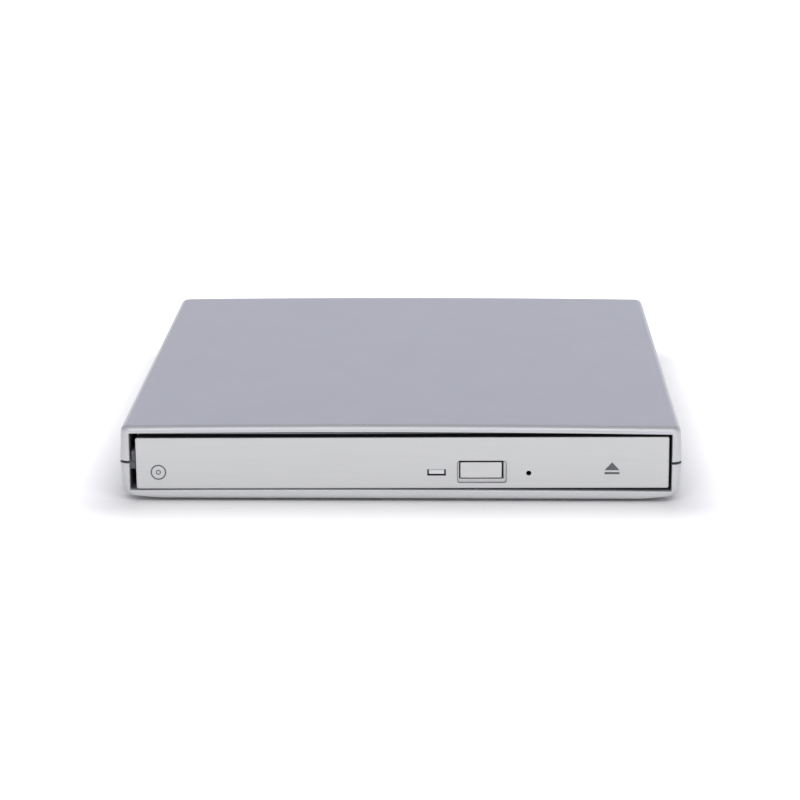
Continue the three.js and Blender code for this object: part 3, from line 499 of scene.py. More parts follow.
def make_materials():
    silver_paint("case", (0.53, 0.532, 0.536), 0.22, 0.31)
    silver_paint("bezel", (0.54, 0.542, 0.532), 0.2, 0.45, streaks=True)
    silver_paint("button", (0.552, 0.553, 0.543), 0.2, 0.4)
    # Bare grey plastic inside the case. Its grey is also set so that the gaps, the seam and the rib beside
    # the bezel read as shaded, so it is partly painted shade.
    moulded_plastic("bare_case_and_shade", (0.17, 0.17, 0.18), 0.6)
    # Darker grey for the flared walls of the recess round the eject button: painted shade that draws the
    # recess's outline, partly the unpainted wall.
    moulded_plastic("bezel_recess_shade", (0.2, 0.2, 0.205), 0.5, grain=0.2, depth=0.003)
    # Black bare plastic of the bezel's body and hidden parts. It is kept very dark so that the gaps round the
    # lamp window and the button read black, so it is partly painted shade.
    moulded_plastic("bare_bezel_and_shade", (0.018, 0.018, 0.019), 0.55)
    moulded_plastic("tray", (0.014, 0.014, 0.016), 0.55)
    moulded_plastic("dark_plastic", (0.02, 0.02, 0.023), 0.45, grain=0.2, depth=0.004)
    moulded_plastic("chip", (0.012, 0.012, 0.013), 0.5, grain=0.12, depth=0.004)
    moulded_plastic("white_plastic", (0.68, 0.66, 0.58), 0.42, grain=0.4, depth=0.003)
    moulded_plastic("connector", (0.66, 0.62, 0.5), 0.5, grain=0.25, depth=0.004)
    moulded_plastic("rubber", (0.012, 0.012, 0.012), 0.82, grain=0.22, depth=0.012)
    moulded_plastic("ink", (0.09, 0.095, 0.1), 0.5, grain=0.15, depth=0.001)
    metal("sheet_steel", (0.42, 0.43, 0.44), 0.32, stretch=(1, 14, 1))
    metal("rail_steel", (0.33, 0.34, 0.35), 0.28, stretch=(1, 40, 1))
    metal("polished_steel", (0.62, 0.63, 0.65), 0.12, scratch=0.0004)
    metal("screw_steel", (0.16, 0.16, 0.17), 0.35, scratch=0.001)
    metal("casting", (0.36, 0.37, 0.38), 0.5, scratch=0.012, size=0.5)
    metal("gold", (0.75, 0.5, 0.18), 0.25, scratch=0.0006)
    metal("tin", (0.6, 0.6, 0.6), 0.3, scratch=0.003, size=0.3)
    metal("coil", (0.55, 0.22, 0.08), 0.3, stretch=(60, 1, 1), scratch=0.03, size=0.18)
    board = Finish("board", roughness=0.35)
    traces = board.noise(1.6, detail=1, stretch=(3, 1, 1))
    steps = board.spread(traces, 0, 1, start=0.49, end=0.51)
    board.colours(steps, (0.008, 0.075, 0.03), (0.014, 0.115, 0.045))
    board.bump(steps, 0.02)
    ribbon = Finish("ribbon", roughness=0.32)
    wires = ribbon.node("TexWave", Vector=ribbon.place, Scale=1 / (MM * CONDUCTOR_WIDTH * math.pi * 2))
    wires.bands_direction = "X"
    stripes = ribbon.spread(wires.outputs["Fac"], 0, 1, start=0.4, end=0.6)
    ribbon.colours(stripes, (0.74, 0.76, 0.78), (0.6, 0.62, 0.65))
    ribbon.bump(stripes, 0.03)
    pane = Finish("light_pipe", roughness=0.22, Subsurface_Weight=0.4)
    pane.shader.inputs["Subsurface Scale"].default_value = 0.5 * MM
    pane.colours(pane.spread(pane.noise(0.5), 0, 1), (0.58, 0.585, 0.585), (0.64, 0.645, 0.645))
    pane.bump(pane.noise(0.3), 0.001)
    lens = Finish("lens", roughness=0.03, IOR=1.52, Coat_Weight=1.0, Coat_Roughness=0.02)
    lens.colours(lens.spread(lens.noise(0.8), 0, 1), (0.05, 0.07, 0.2), (0.09, 0.07, 0.26))
    lens.roughness(lens.noise(0.4), 0.02, 0.06)


# ---------------------------------------------------------------- case


def arc(centre, radius, start, end, steps):
    """Points of an arc, with its angles in degrees."""
    angles = [math.radians(start + (end - start) * k / steps) for k in range(steps + 1)]
    return [(centre[0] + radius * math.cos(a), centre[1] + radius * math.sin(a)) for a in angles]


def roof_height(x, half, height):
    return height + CASE["crown"] * (1 - (x / half) ** 2)


def inset(depth, radius):
    """How far a rounded end has drawn in at a depth from its face."""
    if depth >= radius:
        return 0
    return radius - math.sqrt(radius**2 - (radius - depth) ** 2)


def rounding(radius):
    """Depths at which a rounded end is drawn, from its face to where it runs out."""
    return [radius * (1 - math.cos(math.radians(a))) for a in range(0, 91, 15)]


def plan_ring(half_x, half_y, corner):
    """A rounded rectangle seen from above, with many points along its sides."""
    quarter = arc((half_x - corner, half_y - corner), corner, 0, 90, 12)
    across_x = [((half_x - corner) * (1 - k / 24), half_y) for k in range(1, 24)]
    upper = quarter + across_x + [(0, half_y)] + [(-x, y) for x, y in reversed(quarter + across_x)]
    return upper + [(-x, -y) for x, y in upper]


def level(side, end, height, corner, crowned=0.0, shoulder=None):
    """A ring around the case at a height, drawn in by side and end, and lifted to follow the crown."""
    half_x, half_y = HALF - side, (BACK - FRONT) / 2 - end
    reach = shoulder or half_x
    ring = plan_ring(half_x, half_y, corner)
    return [(x, y, height + crowned * (roof_height(x, reach, 0))) for x, y in ring]


def seam_rings(seam, way, plan):
    """The flat face at the seam and the fine rounding round it, going up or down from the seam."""
    depths = (0, 0.01, 0.03, SEAM_LIP)
    face = level(SEAM_FACE, SEAM_FACE, seam, plan - 1)
    return [face] + [level(inset(d, SEAM_LIP), inset(d, SEAM_LIP), seam + way * d, plan) for d in depths]


def upper_block():
    """The upper half: sides with draft, an edge rounded all the way round and a crowned roof."""
    seam = CASE["seam"] + SEAM_HALF
    radius, plan = CASE["edge_round"], CASE["plan_round"]
    draft = 0.35
    spring = CASE["top"] - radius
    rings = seam_rings(seam, 1, plan)
    for k in range(1, 7):
        t = k / 7
        rings.append(level(draft * t, 0, seam + (spring - seam) * t, plan, t))
    shoulder = HALF - draft - radius
    for angle in range(0, 91, 9):
        turn = math.radians(angle)
        drawn = radius * (1 - math.cos(turn))
        height = spring + radius * math.sin(turn)
        rings.append(level(draft + drawn, drawn, height, plan - drawn, 1, shoulder))
    for k in range(1, 12):
        shrink = 1 - k / 12
        flat_x, flat_y = shoulder * shrink, ((BACK - FRONT) / 2 - radius) * shrink
        side, end = HALF - flat_x, (BACK - FRONT) / 2 - flat_y
        rings.append(level(side, end, CASE["top"], (plan - radius) * shrink, 1, shoulder))
    return loft(rings)


def lower_block():
    """The lower half: it turns in at its lower corners and slopes gently down to a flat base."""
    seam = CASE["seam"] - SEAM_HALF
    base, plan = CASE["underside"], CASE["plan_round"]
    draft, end_round = 0.4, 1.1
    rings = seam_rings(seam, -1, plan)
    turn = [Vector((draft, 2.8)), Vector((draft, 0.95)), Vector((draft + 2.1, 0.72))]
    for k in range(1, 6):
        rings.append(level(draft * k / 5, 0, seam - (seam - base - turn[0].y) * k / 5, plan))
    for k in range(1, 17):
        t = k / 16
        side, rise = turn[0] * (1 - t) ** 2 + turn[1] * 2 * t * (1 - t) + turn[2] * t * t
        rings.append(level(side, inset(rise, end_round), base + rise, plan))
    for k in range(1, 9):
        t = k / 8
        side, rise = turn[2].x + (9.5 - turn[2].x) * t, turn[2].y * (1 - t) ** 1.25
        rings.append(level(side, inset(rise, end_round), base + rise, plan))
    return loft(rings)


def cavity(outline_at):
    """The space in a shell, open at the front with a rounded mouth. Only the mouth is painted."""
    painted_to = FRONT + 1.6
    steps = [(FRONT - 1, MOUTH_ROUND)] + [(FRONT + d, inset(d, MOUTH_ROUND)) for d in rounding(MOUTH_ROUND)]
    steps += [(painted_to, 0), (INSIDE["back"], 0)]
    # Faces past the mouth take the dark bare plastic, which also stands in for the shade inside the gaps.
    return paint(loft([across("Y", y, outline_at(grow)) for y, grow in steps]), 1, lambda c: c.y > painted_to)


def upper_cavity(grow):
    side = INSIDE["x"] + grow
    steps = [side * (1 - k / 20) for k in range(0, 41)]
    crowned = [(x, roof_height(x, side, INSIDE["roof"]) + grow) for x in steps]
    right = arc((side - INNER_ROUND, crowned[0][1] - INNER_ROUND), INNER_ROUND, 0, 90, 4)
    left = arc((-side + INNER_ROUND, crowned[-1][1] - INNER_ROUND), INNER_ROUND, 90, 180, 4)
    return [(-side, 5), (side, 5)] + right + crowned[1:-1] + left


def lower_cavity(grow):
    side = INSIDE["x"] + grow
    floor = INSIDE["floor"] - grow
    right = arc((side - INNER_ROUND, floor + INNER_ROUND), INNER_ROUND, -90, 0, 4)
    left = arc((-side + INNER_ROUND, floor + INNER_ROUND), INNER_ROUND, 180, 270, 4)
    steps = [(side - INNER_ROUND) * (k / 12 - 1) for k in range(1, 24)]
    bowed = [(x, floor + FLOOR_BOW * (1 - (x / side) ** 2)) for x in steps]
    return left + bowed + right + [(side, 25), (-side, 25)]


def ring_wall(z, thickness, front):
    """The ring beside the wall's inner face where the lower shell's tongue stands."""
    side = INSIDE["x"] + thickness
    back = INSIDE["back"] + thickness
    outer = block((-side, side), (front, back), z)
    inner = block((-INSIDE["x"], INSIDE["x"]), (front - 1, INSIDE["back"]), (z[0] - 1, z[1] + 1))
    return paint(less(outer, inner), 1)


def screw_places(kind):
    return [middle(f"{kind}_{side}") for side in ("left", "right")]


def flared_hole(x, y, radius, depth, flare=0.35):
    """A cutter for a hole in the underside, with a rounded mouth."""
    base = CASE["underside"]
    mouth = [(radius + inset(flare * k / 4, flare), base + flare * k / 4) for k in range(5)]
    profile = [(0, base - 0.5), (radius + flare, base - 0.5), *mouth, (radius, depth), (0, depth)]
    return paint(lathe(profile, (x, y, 0)), 1, lambda c: c.z > base + flare)


def top_case():
    seam = CASE["seam"]
    shell = less(upper_block(), cavity(upper_cavity), ring_wall((seam - 1, seam + 1.6), 1, FRONT + 1.7))
    for place in screw_places("case_screw"):
        boss = column(3, seam - 0.4, INSIDE["roof"] + 0.6, place.x, place.y)
        bore = column(SCREW_BORE, seam - 1, seam + 4.4, place.x, place.y)
        shell = less(plus(shell, paint(boss, 1)), paint(bore, 1))
    for x in (-42, 0, 42):
        rib = block((x - 0.6, x + 0.6), (-50, 55), (INSIDE["roof"] - 0.4, INSIDE["roof"] + 0.8))
        shell = plus(shell, paint(rib, 1))
    # The faces at the seam take the dark plastic: painted shade, so that the seam reads as a dark line.
    paint(shell, 1, lambda c: c.z < seam + SEAM_HALF + 0.01)
    instead_of("top_case", shell, ["case", "bare_case_and_shade"], smooth=30)


def bottom_case():
    seam = CASE["seam"]
    shell = less(lower_block(), cavity(lower_cavity))
    shell = plus(shell, ring_wall((seam - 1, seam + 1.3), 0.7, FRONT + 2))
    for place in screw_places("case_screw"):
        boss = column(3.2, 2.3, seam - 0.7, place.x, place.y)
        bore = column(SCREW_BORE, 0, seam + 1, place.x, place.y)
        sunk = flared_hole(place.x, place.y, 2.7, 2.7)
        shell = less(plus(shell, paint(boss, 1)), paint(bore, 1), sunk)
    for place in screw_places("drive_screw"):
        bore = column(1.4, 0, 4, place.x, place.y)
        shell = less(shell, paint(bore, 1), flared_hole(place.x, place.y, 2.5, 2.3))
    for corner in CORNERS:
        place = middle(f"foot_{corner}")
        shell = less(shell, flared_hole(place.x, place.y, 4.8, 1.7, flare=0.25))
    for side in (-1, 1):
        x = sorted((side * 53, side * 55))
        shell = plus(shell, paint(block(x, (-64, 52), (INSIDE["floor"] - 0.3, BEZEL["low"] - GAP)), 1))
    for x in (-36, 48):
        shell = plus(shell, paint(column(1.8, 2.5, 3.7, x, 64.5), 1))
    # The locating rib beside the bezel takes the dark plastic, whose grey also stands in for the rib's shade:
    # partly painted shade.
    tip = DRIVE_X - BEZEL["half"] - GAP
    wall = -INSIDE["x"]
    shell = plus(
        shell,
        paint(block((wall - 0.5, tip), (FRONT + 2, FRONT + 11), (7.8, seam - 0.2)), 1),
        paint(block((wall + GAP, tip), (FRONT + 2, FRONT + 11), (seam - 0.4, 12.2)), 1),
    )
    for node in ("usb_socket", "power_socket"):
        low, high = corners(node)
        x, z = (low.x - GAP, high.x + GAP), (low.z - GAP, high.z + GAP)
        flare = 0.35
        mouth = [(BACK - d, inset(d, flare)) for d in (0, 0.03, 0.1, 0.2, flare)]
        shell = less(shell, grown([(BACK + 1, flare), *mouth, (INSIDE["back"] - 1, 0)], x, z, 0.5))
    # The faces at the seam take the dark plastic: painted shade, so that the seam reads as a dark line.
    paint(shell, 1, lambda c: abs(c.z - seam + SEAM_HALF) < 0.01)
    instead_of("bottom_case", shell, ["case", "bare_case_and_shade"], smooth=30)


def feet():
    for corner in CORNERS:
        node = f"foot_{corner}"
        low, high = corners(node)
        radius = (high.x - low.x) / 2
        outline = [(0, 0.12), (radius - 1.1, 0.05), (radius - 0.9, 0), (radius - 0.35, 0),
                   (radius, 0.4), (radius, high.z), (0, high.z)]
        place = middle(node)
        instead_of(node, lathe(rounded(outline, 0.25, 4, closed=False), (place.x, place.y, 0), steps=64))


def cross_cutter(size, depth, bottom):
    """A tapered cross recess that opens downwards."""
    arms = []
    for turn in (0, 90):
        wide, narrow = size * 0.16, size * 0.1
        rings = [
            [(-size, -wide), (size, -wide), (size, wide), (-size, wide)],
            [(-size * 0.55, -narrow), (size * 0.55, -narrow), (size * 0.55, narrow), (-size * 0.55, narrow)],
        ]
        arm = loft([across("Z", bottom - 0.2, rings[0]), across("Z", bottom + depth, rings[1])])
        arm.transform(Matrix.Rotation(math.radians(turn), 4, "Z"))
        arms.append(arm)
    return arms


def screw(node, head_radius, head_height, shank_radius):
    """A cross-head screw that stands on its head."""
    low, high = corners(node)
    place = middle(node)
    neck = low.z + head_height
    outline = [(0, low.z), (head_radius, low.z), (head_radius, neck), (shank_radius, neck),
               (shank_radius, high.z - 0.6), (shank_radius * 0.5, high.z), (0, high.z)]
    body = lathe(rounded(outline, 0.35, 5, closed=False), steps=48)
    body = less(body, *cross_cutter(head_radius * 0.62, head_height * 0.6, low.z))
    body.transform(Matrix.Translation((place.x, place.y, 0)))
    instead_of(node, body)


def screws():
    for side in ("left", "right"):
        screw(f"case_screw_{side}", 2.4, 1.2, 1.25)
        screw(f"drive_screw_{side}", 2.1, 0.9, 1)


# ---------------------------------------------------------------- bezel

BEZEL_MIDDLE = (BEZEL["low"] + BEZEL["high"]) / 2
BEZEL_PLACE = (
    Matrix.Translation((DRIVE_X, 0, BEZEL_MIDDLE))
    @ Matrix.Rotation(-BEZEL["tilt"], 4, "Y")
    @ Matrix.Translation((0, 0, -BEZEL_MIDDLE))
)


def pocket(x, z, y, corner, flare):
    """A cutter from in front of the bezel back to a depth, with a rounded mouth."""
    front = BEZEL["front"]
    steps = [(front - 1, flare)] + [(front + flare * k / 4, inset(flare * k / 4, flare)) for k in range(5)]
    return grown([*steps, (y, 0)], x, z, corner, 6, follow=True)


def bezel():
    half, low, high = BEZEL["half"], BEZEL["low"], BEZEL["high"]
    front, back = BEZEL["front"], BEZEL["back"]
    edge = 0.35
    steps = [(front + d, -inset(d, edge)) for d in rounding(edge) + [1.2, back - front]]
    shell = grown(steps, (-half, half), (low, high), 0.55)
    inner = block((-half + 1.4, half - 1.4), (front + 1.5, back + 1), (low + 1.2, high - 1.2))
    x, z = BUTTON["x"], BUTTON["z"]
    frame_x, frame_z = (x[0] - 0.65, x[1] + 1.05), (z[0] - 1.1, z[1] + GAP)
    lamp_x = (LAMP["x"][0] - GAP - 0.08, LAMP["x"][1] + GAP + 0.08)
    lamp_z = (LAMP["z"][0] - GAP - 0.06, LAMP["z"][1] + 0.08)
    shell = less(
        shell,
        paint(inner, 1),
        # The recess's flared walls take the darker grey: painted shade, partly the unpainted wall.
        paint(pocket(frame_x, frame_z, front + 0.5, 0.6, 0.16), 2, lambda c: c.y < front + 0.49),
        pocket((x[0] - GAP, x[1] + GAP + 0.15), (z[0] - GAP, z[1] + GAP + 0.15), back + 1, 0.1, 0.02),
        pocket(lamp_x, lamp_z, back + 1, 0.08, 0.03),
    )
    radius = RELEASE_HOLE["r"]
    mouth = [(radius + inset(0.15 * k / 3, 0.15), front + 0.15 * k / 3) for k in range(4)]
    hole = lathe([(0, front - 1), (radius + 0.15, front - 1), *mouth, (radius, back + 1), (0, back + 1)],
                 (RELEASE_HOLE["x"], 0, RELEASE_HOLE["z"]), "Y", 32)
    shell = less(shell, hole)
    sill = z[0] - GAP

    def bare(c):
        return c.y > front + 0.7 and not (abs(c.z - sill) < 0.01 and x[0] - 1 < c.x < x[1] + 1)

    shell = placed(paint(shell, 1, bare), BEZEL_PLACE)
    instead_of("bezel", shell, ["bezel", "bare_bezel_and_shade", "bezel_recess_shade"], smooth=30)


def eject_button():
    front = BEZEL["front"]
    skin = front + 1.5
    x, z = BUTTON["x"], BUTTON["z"]
    edge = 0.25
    face_front = front + 0.1
    steps = [(face_front + d, -inset(d, edge)) for d in rounding(edge) + [2]]
    # The cap's sides behind its rim take the dark plastic: partly bare plastic, partly painted shade for the
    # gap round the button.
    cap = paint(grown(steps, x, z, 0.3, 4), 1, lambda c: c.y > face_front + edge + 0.1)
    flange = soften(block((x[0] - 0.8, x[1] + 0.8), (skin + GAP, skin + 1), (z[0] - 0.8, z[1] + 0.8)), 0.1)
    stem = soften(block((17.6, 20), (skin + 0.6, BODY_FRONT + 0.4), (7.2, 8.6)), 0.1)
    button = placed(plus(cap, paint(flange, 1), paint(stem, 1)), BEZEL_PLACE)
    instead_of("eject_button", button, ["button", "bare_bezel_and_shade"], smooth=30)


def led_window():
    front = BEZEL["front"]
    x, z = LAMP["x"], LAMP["z"]
    pane = soften(block(x, (front + 0.15, BODY_FRONT + 0.8), z), 0.1, 3)
    # The pane's sides behind its front take the dark plastic: painted shade, so that the gap round the window
    # reads black.
    pane = paint(pane, 1, lambda c: c.y > front + 0.5)
    collar = block((x[0] - 0.7, x[1] + 0.7), (front + 1.8, front + 2.5), (z[0] - 0.6, z[1] + 0.6))
    window = placed(plus(pane, paint(soften(collar, 0.08), 1)), BEZEL_PLACE)
    instead_of("led_window", window, ["light_pipe", "bare_bezel_and_shade"])


def bezel_print():
    """Two plain pictograms in grey ink: a disc, and a triangle over a bar."""
    y = (BEZEL["front"] - 0.015, BEZEL["front"] + 0.05)
    disc_at = (-58.6, 0, 7.6)
    outer = washer(1.55, 1.9, *y, disc_at, 64)
    inner = washer(0.35, 0.62, *y, disc_at, 32)
    triangle = prism([(48.6, 7.9), (52.2, 7.9), (50.4, 9.9)], "Y", *y)
    bar = prism([(48.6, 6.9), (52.2, 6.9), (52.2, 7.45), (48.6, 7.45)], "Y", *y)
    marks = placed(together(outer, inner, triangle, bar), BEZEL_PLACE)
    piece("bezel_print", marks, "dark_plastic", "tray", finishes=["ink"])


# ---------------------------------------------------------------- sockets at the back

POWER_BORE = 1.6


def cup(outer, inner, axis, open_end, closed_end, wall):
    """A thin-walled sleeve with a floor, open at one end with a softened lip."""
    way = 1 if open_end > closed_end else -1
    lip = way * wall * 0.35
    middle_line = [((a[0] + b[0]) / 2, (a[1] + b[1]) / 2) for a, b in zip(outer, inner)]
    return loft([
        across(axis, closed_end, outer),
        across(axis, open_end - lip, outer),
        across(axis, open_end, middle_line),
        across(axis, open_end - lip, inner),
        across(axis, closed_end + way * wall, inner),
    ])


def usb_socket():
    low, high = corners("usb_socket")
    centre = (low.x + high.x) / 2

    def outline(shrink):
        half = (high.x - low.x) / 2 - shrink
        z0, z1 = low.z + shrink, high.z - shrink
        right = [(half - 1, z0), (half - 0.3, z0 + 1.3), (half, z0 + 1.6), (half, z1)]
        whole = right + [(-x, z) for x, z in reversed(right)]
        return [(centre + x, z) for x, z in rounded(whole, 0.45, 4)]

    shell = cup(outline(0), outline(0.35), "Y", high.y, low.y, 0.35)
    instead_of("usb_socket", shell)
    tongue = soften(cad_shape("usb_socket_tongue"), 0.12)
    instead_of("usb_socket_tongue", tongue)
    low, high = corners("usb_socket_tongue")
    strips = []
    for k in range(5):
        x = (low.x + high.x) / 2 + (k - 2) * 0.8
        strips.append(block((x - 0.2, x + 0.2), (low.y + 0.5, high.y - 0.4), (high.z - 0.02, high.z + 0.08)))
    piece("usb_contacts", together(*strips), "sheet_steel", "root", finishes=["gold"])


def power_socket():
    low, high = corners("power_socket")
    place = middle("power_socket")
    body = soften(block((low.x, high.x), (low.y, high.y), (low.z, high.z)), 0.2, 3)
    flare, bottom = 0.3, high.y - 7.9
    mouth = [(POWER_BORE + inset(flare * k / 4, flare), high.y - flare * k / 4) for k in range(5)]
    bore = [(0, high.y + 1), (1.9, high.y + 1), *mouth, (POWER_BORE, bottom), (0, bottom)]
    body = less(body, lathe(bore, (place.x, 0, place.z), "Y", 48))
    instead_of("power_socket", body)
    pin = [(0, 0), (0.5, 0), (0.5, 6.3), (0.28, 6.7), (0, 6.75)]
    shape = lathe(rounded(pin, 0.15, 3, closed=False), (place.x, high.y - 8.2, place.z), "Y", 32)
    piece("power_pin", shape, "polished_steel", "root")
    sleeve = washer(1.45, POWER_BORE, 0, 7.4, (place.x, high.y - 7.9, place.z))
    piece("power_contact", sleeve, "sheet_steel", "root")


# ---------------------------------------------------------------- tray

TRAY_BACK = corners("tray")[1].y
DECK = {"under": 9.5, "small": 10.3, "top": 10.8, "rim": 12.8}
DISC = {"recess": 60.6, "small": 40.5}
ROD = {"main": 14.5, "sub": -13, "r": 1.2, "z": 7.4, "from": 10.3, "to": 64.7}
LEAD_SCREW = {"across": 20.5, "r": 1.4, "lead": 3}
DAMPERS = [(-12.5, -14), (42, -21.5), (36, 27)]
TRAY_POSTS = [(-52, -60.5), (54.2, -62), (-50, 22), (30, 24), (53, -31)]
LOCK_PIVOT = (46, -58)
SOLENOID = {"x": 50.5, "z": 7.15}
EJECTOR = {"x": -52, "z": 7.9}
DRIVE_PLACE = Matrix.Translation((DRIVE_X, 0, 0))


def post(radius, low, high, x, y, edge=0.12):
    return rod(radius, high - low, (x, y, low), "Z", edge, 32)


def tray_deck():
    """The tray's plate: rounded rim, and two steps turned out of it for large and small discs."""
    half = 62.4
    levels = [(0, 0.15), (0.05, 0.05), (0.15, 0), (3, 0), (3.1, 0.02), (3.2, 0.1), (3.27, 0.2), (3.3, 0.35)]
    rings = []
    for rise, shrink in levels:
        x, y = (shrink - half, half - shrink), (BODY_FRONT + shrink, TRAY_BACK - shrink)
        rings.append(across("Z", DECK["under"] + rise, rectangle(x, y, 1.5)))
    small, top, rim = DECK["small"], DECK["top"], DECK["rim"]
    inner, outer = DISC["small"], DISC["recess"]
    steps = [
        (0, small), (inner - 0.4, small), (inner - 0.15, small + 0.08), (inner, small + 0.3),
        (inner + 0.1, top - 0.03), (inner + 0.25, top), (outer - 0.5, top), (outer - 0.15, top + 0.12),
        (outer, top + 0.45), (outer, rim - 0.35), (outer + 0.1, rim - 0.1), (outer + 0.35, rim + 0.02),
        (outer + 0.35, rim + 1), (0, rim + 1),
    ]
    return less(loft(rings), lathe(steps, (0, SPINDLE.y, 0), steps=192))


def tray_skirt(side):
    """The skirt under one edge, with the groove that the middle rail runs in."""
    outline = [
        (57.6, 4.6), (60.2, 4.6), (60.2, 6.1), (59.7, 6.1), (59.7, 5.1), (58.4, 5.1),
        (58.4, 8.7), (59.7, 8.7), (59.7, 7.7), (60.2, 7.7), (60.2, 9.7), (57.6, 9.7),
    ]
    return prism([(side * x, z) for x, z in outline], "Y", BODY_FRONT + 0.02, TRAY_BACK - 0.02)


def tray_window():
    """Cutters for the opening over the turntable, the pickup and the sled motor."""
    reach, low, high = 59.2, -17, 18.5
    start, end = (math.degrees(math.asin(v / reach)) for v in (low, high))
    slot = prism([(0, low), *arc((0, 0), reach, start, end, 24), (0, high)], "Z", 0, 20)
    round_part = column(15.3, 0, 20, steps=96)
    motor = block((-9.5, 7), (17, 23.5), (0, 20))
    return [placed(shape, TRAVERSE) for shape in (slot, round_part, motor)]


def tray():
    body = plus(tray_deck(), tray_skirt(1), tray_skirt(-1))
    wall = soften(block((-60.2, 60.2), (BODY_FRONT + 0.02, BODY_FRONT + 1.8), (5.1, 10)), 0.15)
    body = plus(body, wall)
    body = less(body, block((2.5, 27.5), (BODY_FRONT - 1, BODY_FRONT + 3), (0, DECK["under"] - 0.1)))
    hole = rod(1, 4, (RELEASE_HOLE["x"], BODY_FRONT - 1, RELEASE_HOLE["z"]), "Y", 0.05)
    body = less(body, hole)
    root = DECK["under"] + 0.2
    for x, y in TRAY_POSTS:
        body = plus(body, post(2.2, 5.1, root, x, y))
    body = plus(body, post(0.8, 6, root, *LOCK_PIVOT))
    housing = block((-54.6, -49.4), (BODY_FRONT + 92, TRAY_BACK), (6, root))
    body = plus(body, soften(housing, 0.3, 3))
    body = less(body, rod(1.5, 30, (EJECTOR["x"], BODY_FRONT + 93.5, EJECTOR["z"]), "Y", 0.05))
    body = placed(body, DRIVE_PLACE)
    for along, side in DAMPERS:
        for radius, low, high in ((3.2, 8.4, root), (1.2, 5.1, 8.6)):
            body = plus(body, placed(post(radius, low, high, along, side), TRAVERSE))
    body = less(body, *tray_window())
    instead_of("tray", body, smooth=32)


def tray_fittings():
    """The solenoid, the plungers and the ejector's spring."""
    low, high = corners("lock_solenoid")
    winding = rectangle((low.x + 0.5, high.x - 0.5), (low.z + 0.35, high.z - 0.35), 1.2)
    coil = prism(winding, "Y", low.y + 0.6, high.y - 0.6)
    plates = []
    for y in (low.y, high.y - 0.6):
        plate = prism(rectangle((low.x, high.x), (low.z, high.z), 0.5), "Y", y, y + 0.6)
        plates.append(less(plate, rod(1.4, 3, (SOLENOID["x"] + DRIVE_X, y - 1, SOLENOID["z"]), "Y", 0.05)))
    yoke = block((low.x + 0.4, high.x - 0.4), (low.y, high.y), (high.z - 0.35, high.z))
    frame_shape = paint(together(*plates, soften(yoke, 0.1)), 1)
    instead_of("lock_solenoid", together(coil, frame_shape), ["coil", "sheet_steel"])
    low, high = corners("solenoid_plunger")
    plunger = [(0, 0), (0.55, 0), (1, 0.5), (1, 1.6), (0.75, 1.8), (0.75, 2.3), (1, 2.5)]
    plunger += [(1, high.y - low.y), (0, high.y - low.y)]
    place = (SOLENOID["x"] + DRIVE_X, low.y, SOLENOID["z"])
    instead_of("solenoid_plunger", lathe(plunger, place, "Y"))
    low, high = corners("ejector_plunger")
    reach = high.y - low.y
    profile = [(0, 0), (1.1, 0), (1.1, reach - 0.8), (1.6, reach - 0.8), (1.6, reach), (0, reach)]
    place = (EJECTOR["x"] + DRIVE_X, low.y, EJECTOR["z"])
    instead_of("ejector_plunger", lathe(rounded(profile, 0.2, 3, closed=False), place, "Y"))
    gap = high.y - 0.8 - TRAY_BACK
    spring = helix_tube(1.33, 0.16, 6, gap, (place[0], TRAY_BACK, place[2]))
    coil_spring = piece("ejector_spring", spring, "polished_steel", None, smooth=60)
    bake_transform(coil_spring)


# ---------------------------------------------------------------- spindle and traverse


def spindle():
    place = (SPINDLE.x, SPINDLE.y, 0)
    rotor = [
        (0, 5.7), (1.1, 5.7), (1.2, 5.8), (1.2, 7.4), (12.6, 7.4), (12.85, 7.5), (13.3, 7.95), (13.4, 8.2),
        (13.4, 10.7), (13.3, 10.95), (13.0, 11.2), (12.85, 11.28), (12.7, 11.25), (12.7, 10.9), (9.9, 10.9),
        (9.9, 11.3), (8.7, 11.3), (8.55, 11.15), (8.1, 11.15), (7.95, 11.3), (0, 11.3),
    ]
    instead_of("turntable", lathe(rotor, place, steps=128))
    pad = [(10.1, 11), (12.5, 11), (12.5, 11.42), (12.42, 11.55), (12.25, 11.6)]
    pad += [(10.35, 11.6), (10.18, 11.55), (10.1, 11.42)]
    instead_of("turntable_pad", lathe(pad, place, steps=128))
    dome = [
        (0, 11.4), (7.2, 11.4), (7.35, 11.5), (7.35, 12.3), (7.28, 12.5), (6.9, 12.92), (6.5, 13.08),
        (2.9, 13.28), (2.6, 13.27), (2.4, 13.15), (2.25, 12.98), (2.1, 12.9), (0, 12.9),
    ]
    hub = lathe(dome, steps=96)
    for turn in (0, 120, 240):
        slot = block((5, 8), (-1.4, 1.4), (11.7, 20))
        hub = less(hub, placed(slot, Matrix.Rotation(math.radians(turn), 4, "Z")))
    instead_of("spindle_hub", placed(hub, Matrix.Translation(place)))
    tip = [(0, 12.7), (1.3, 12.7), (1.3, 13), (1.15, 13.15), (0.5, 13.2), (0, 13.2)]
    piece("spindle_tip", lathe(tip, place), "polished_steel", "turntable")
    base = [
        (0, 5.1), (11.4, 5.1), (11.6, 5.3), (11.6, 6.1), (11.4, 6.22), (9.6, 6.38), (9.5, 6.5),
        (9.5, 6.9), (9.4, 7), (0, 7),
    ]
    bore = post(1.5, 5.4, 20, 0, 0, 0.02)
    instead_of("spindle_motor_base", placed(less(lathe(base, steps=96), bore), Matrix.Translation(place)))


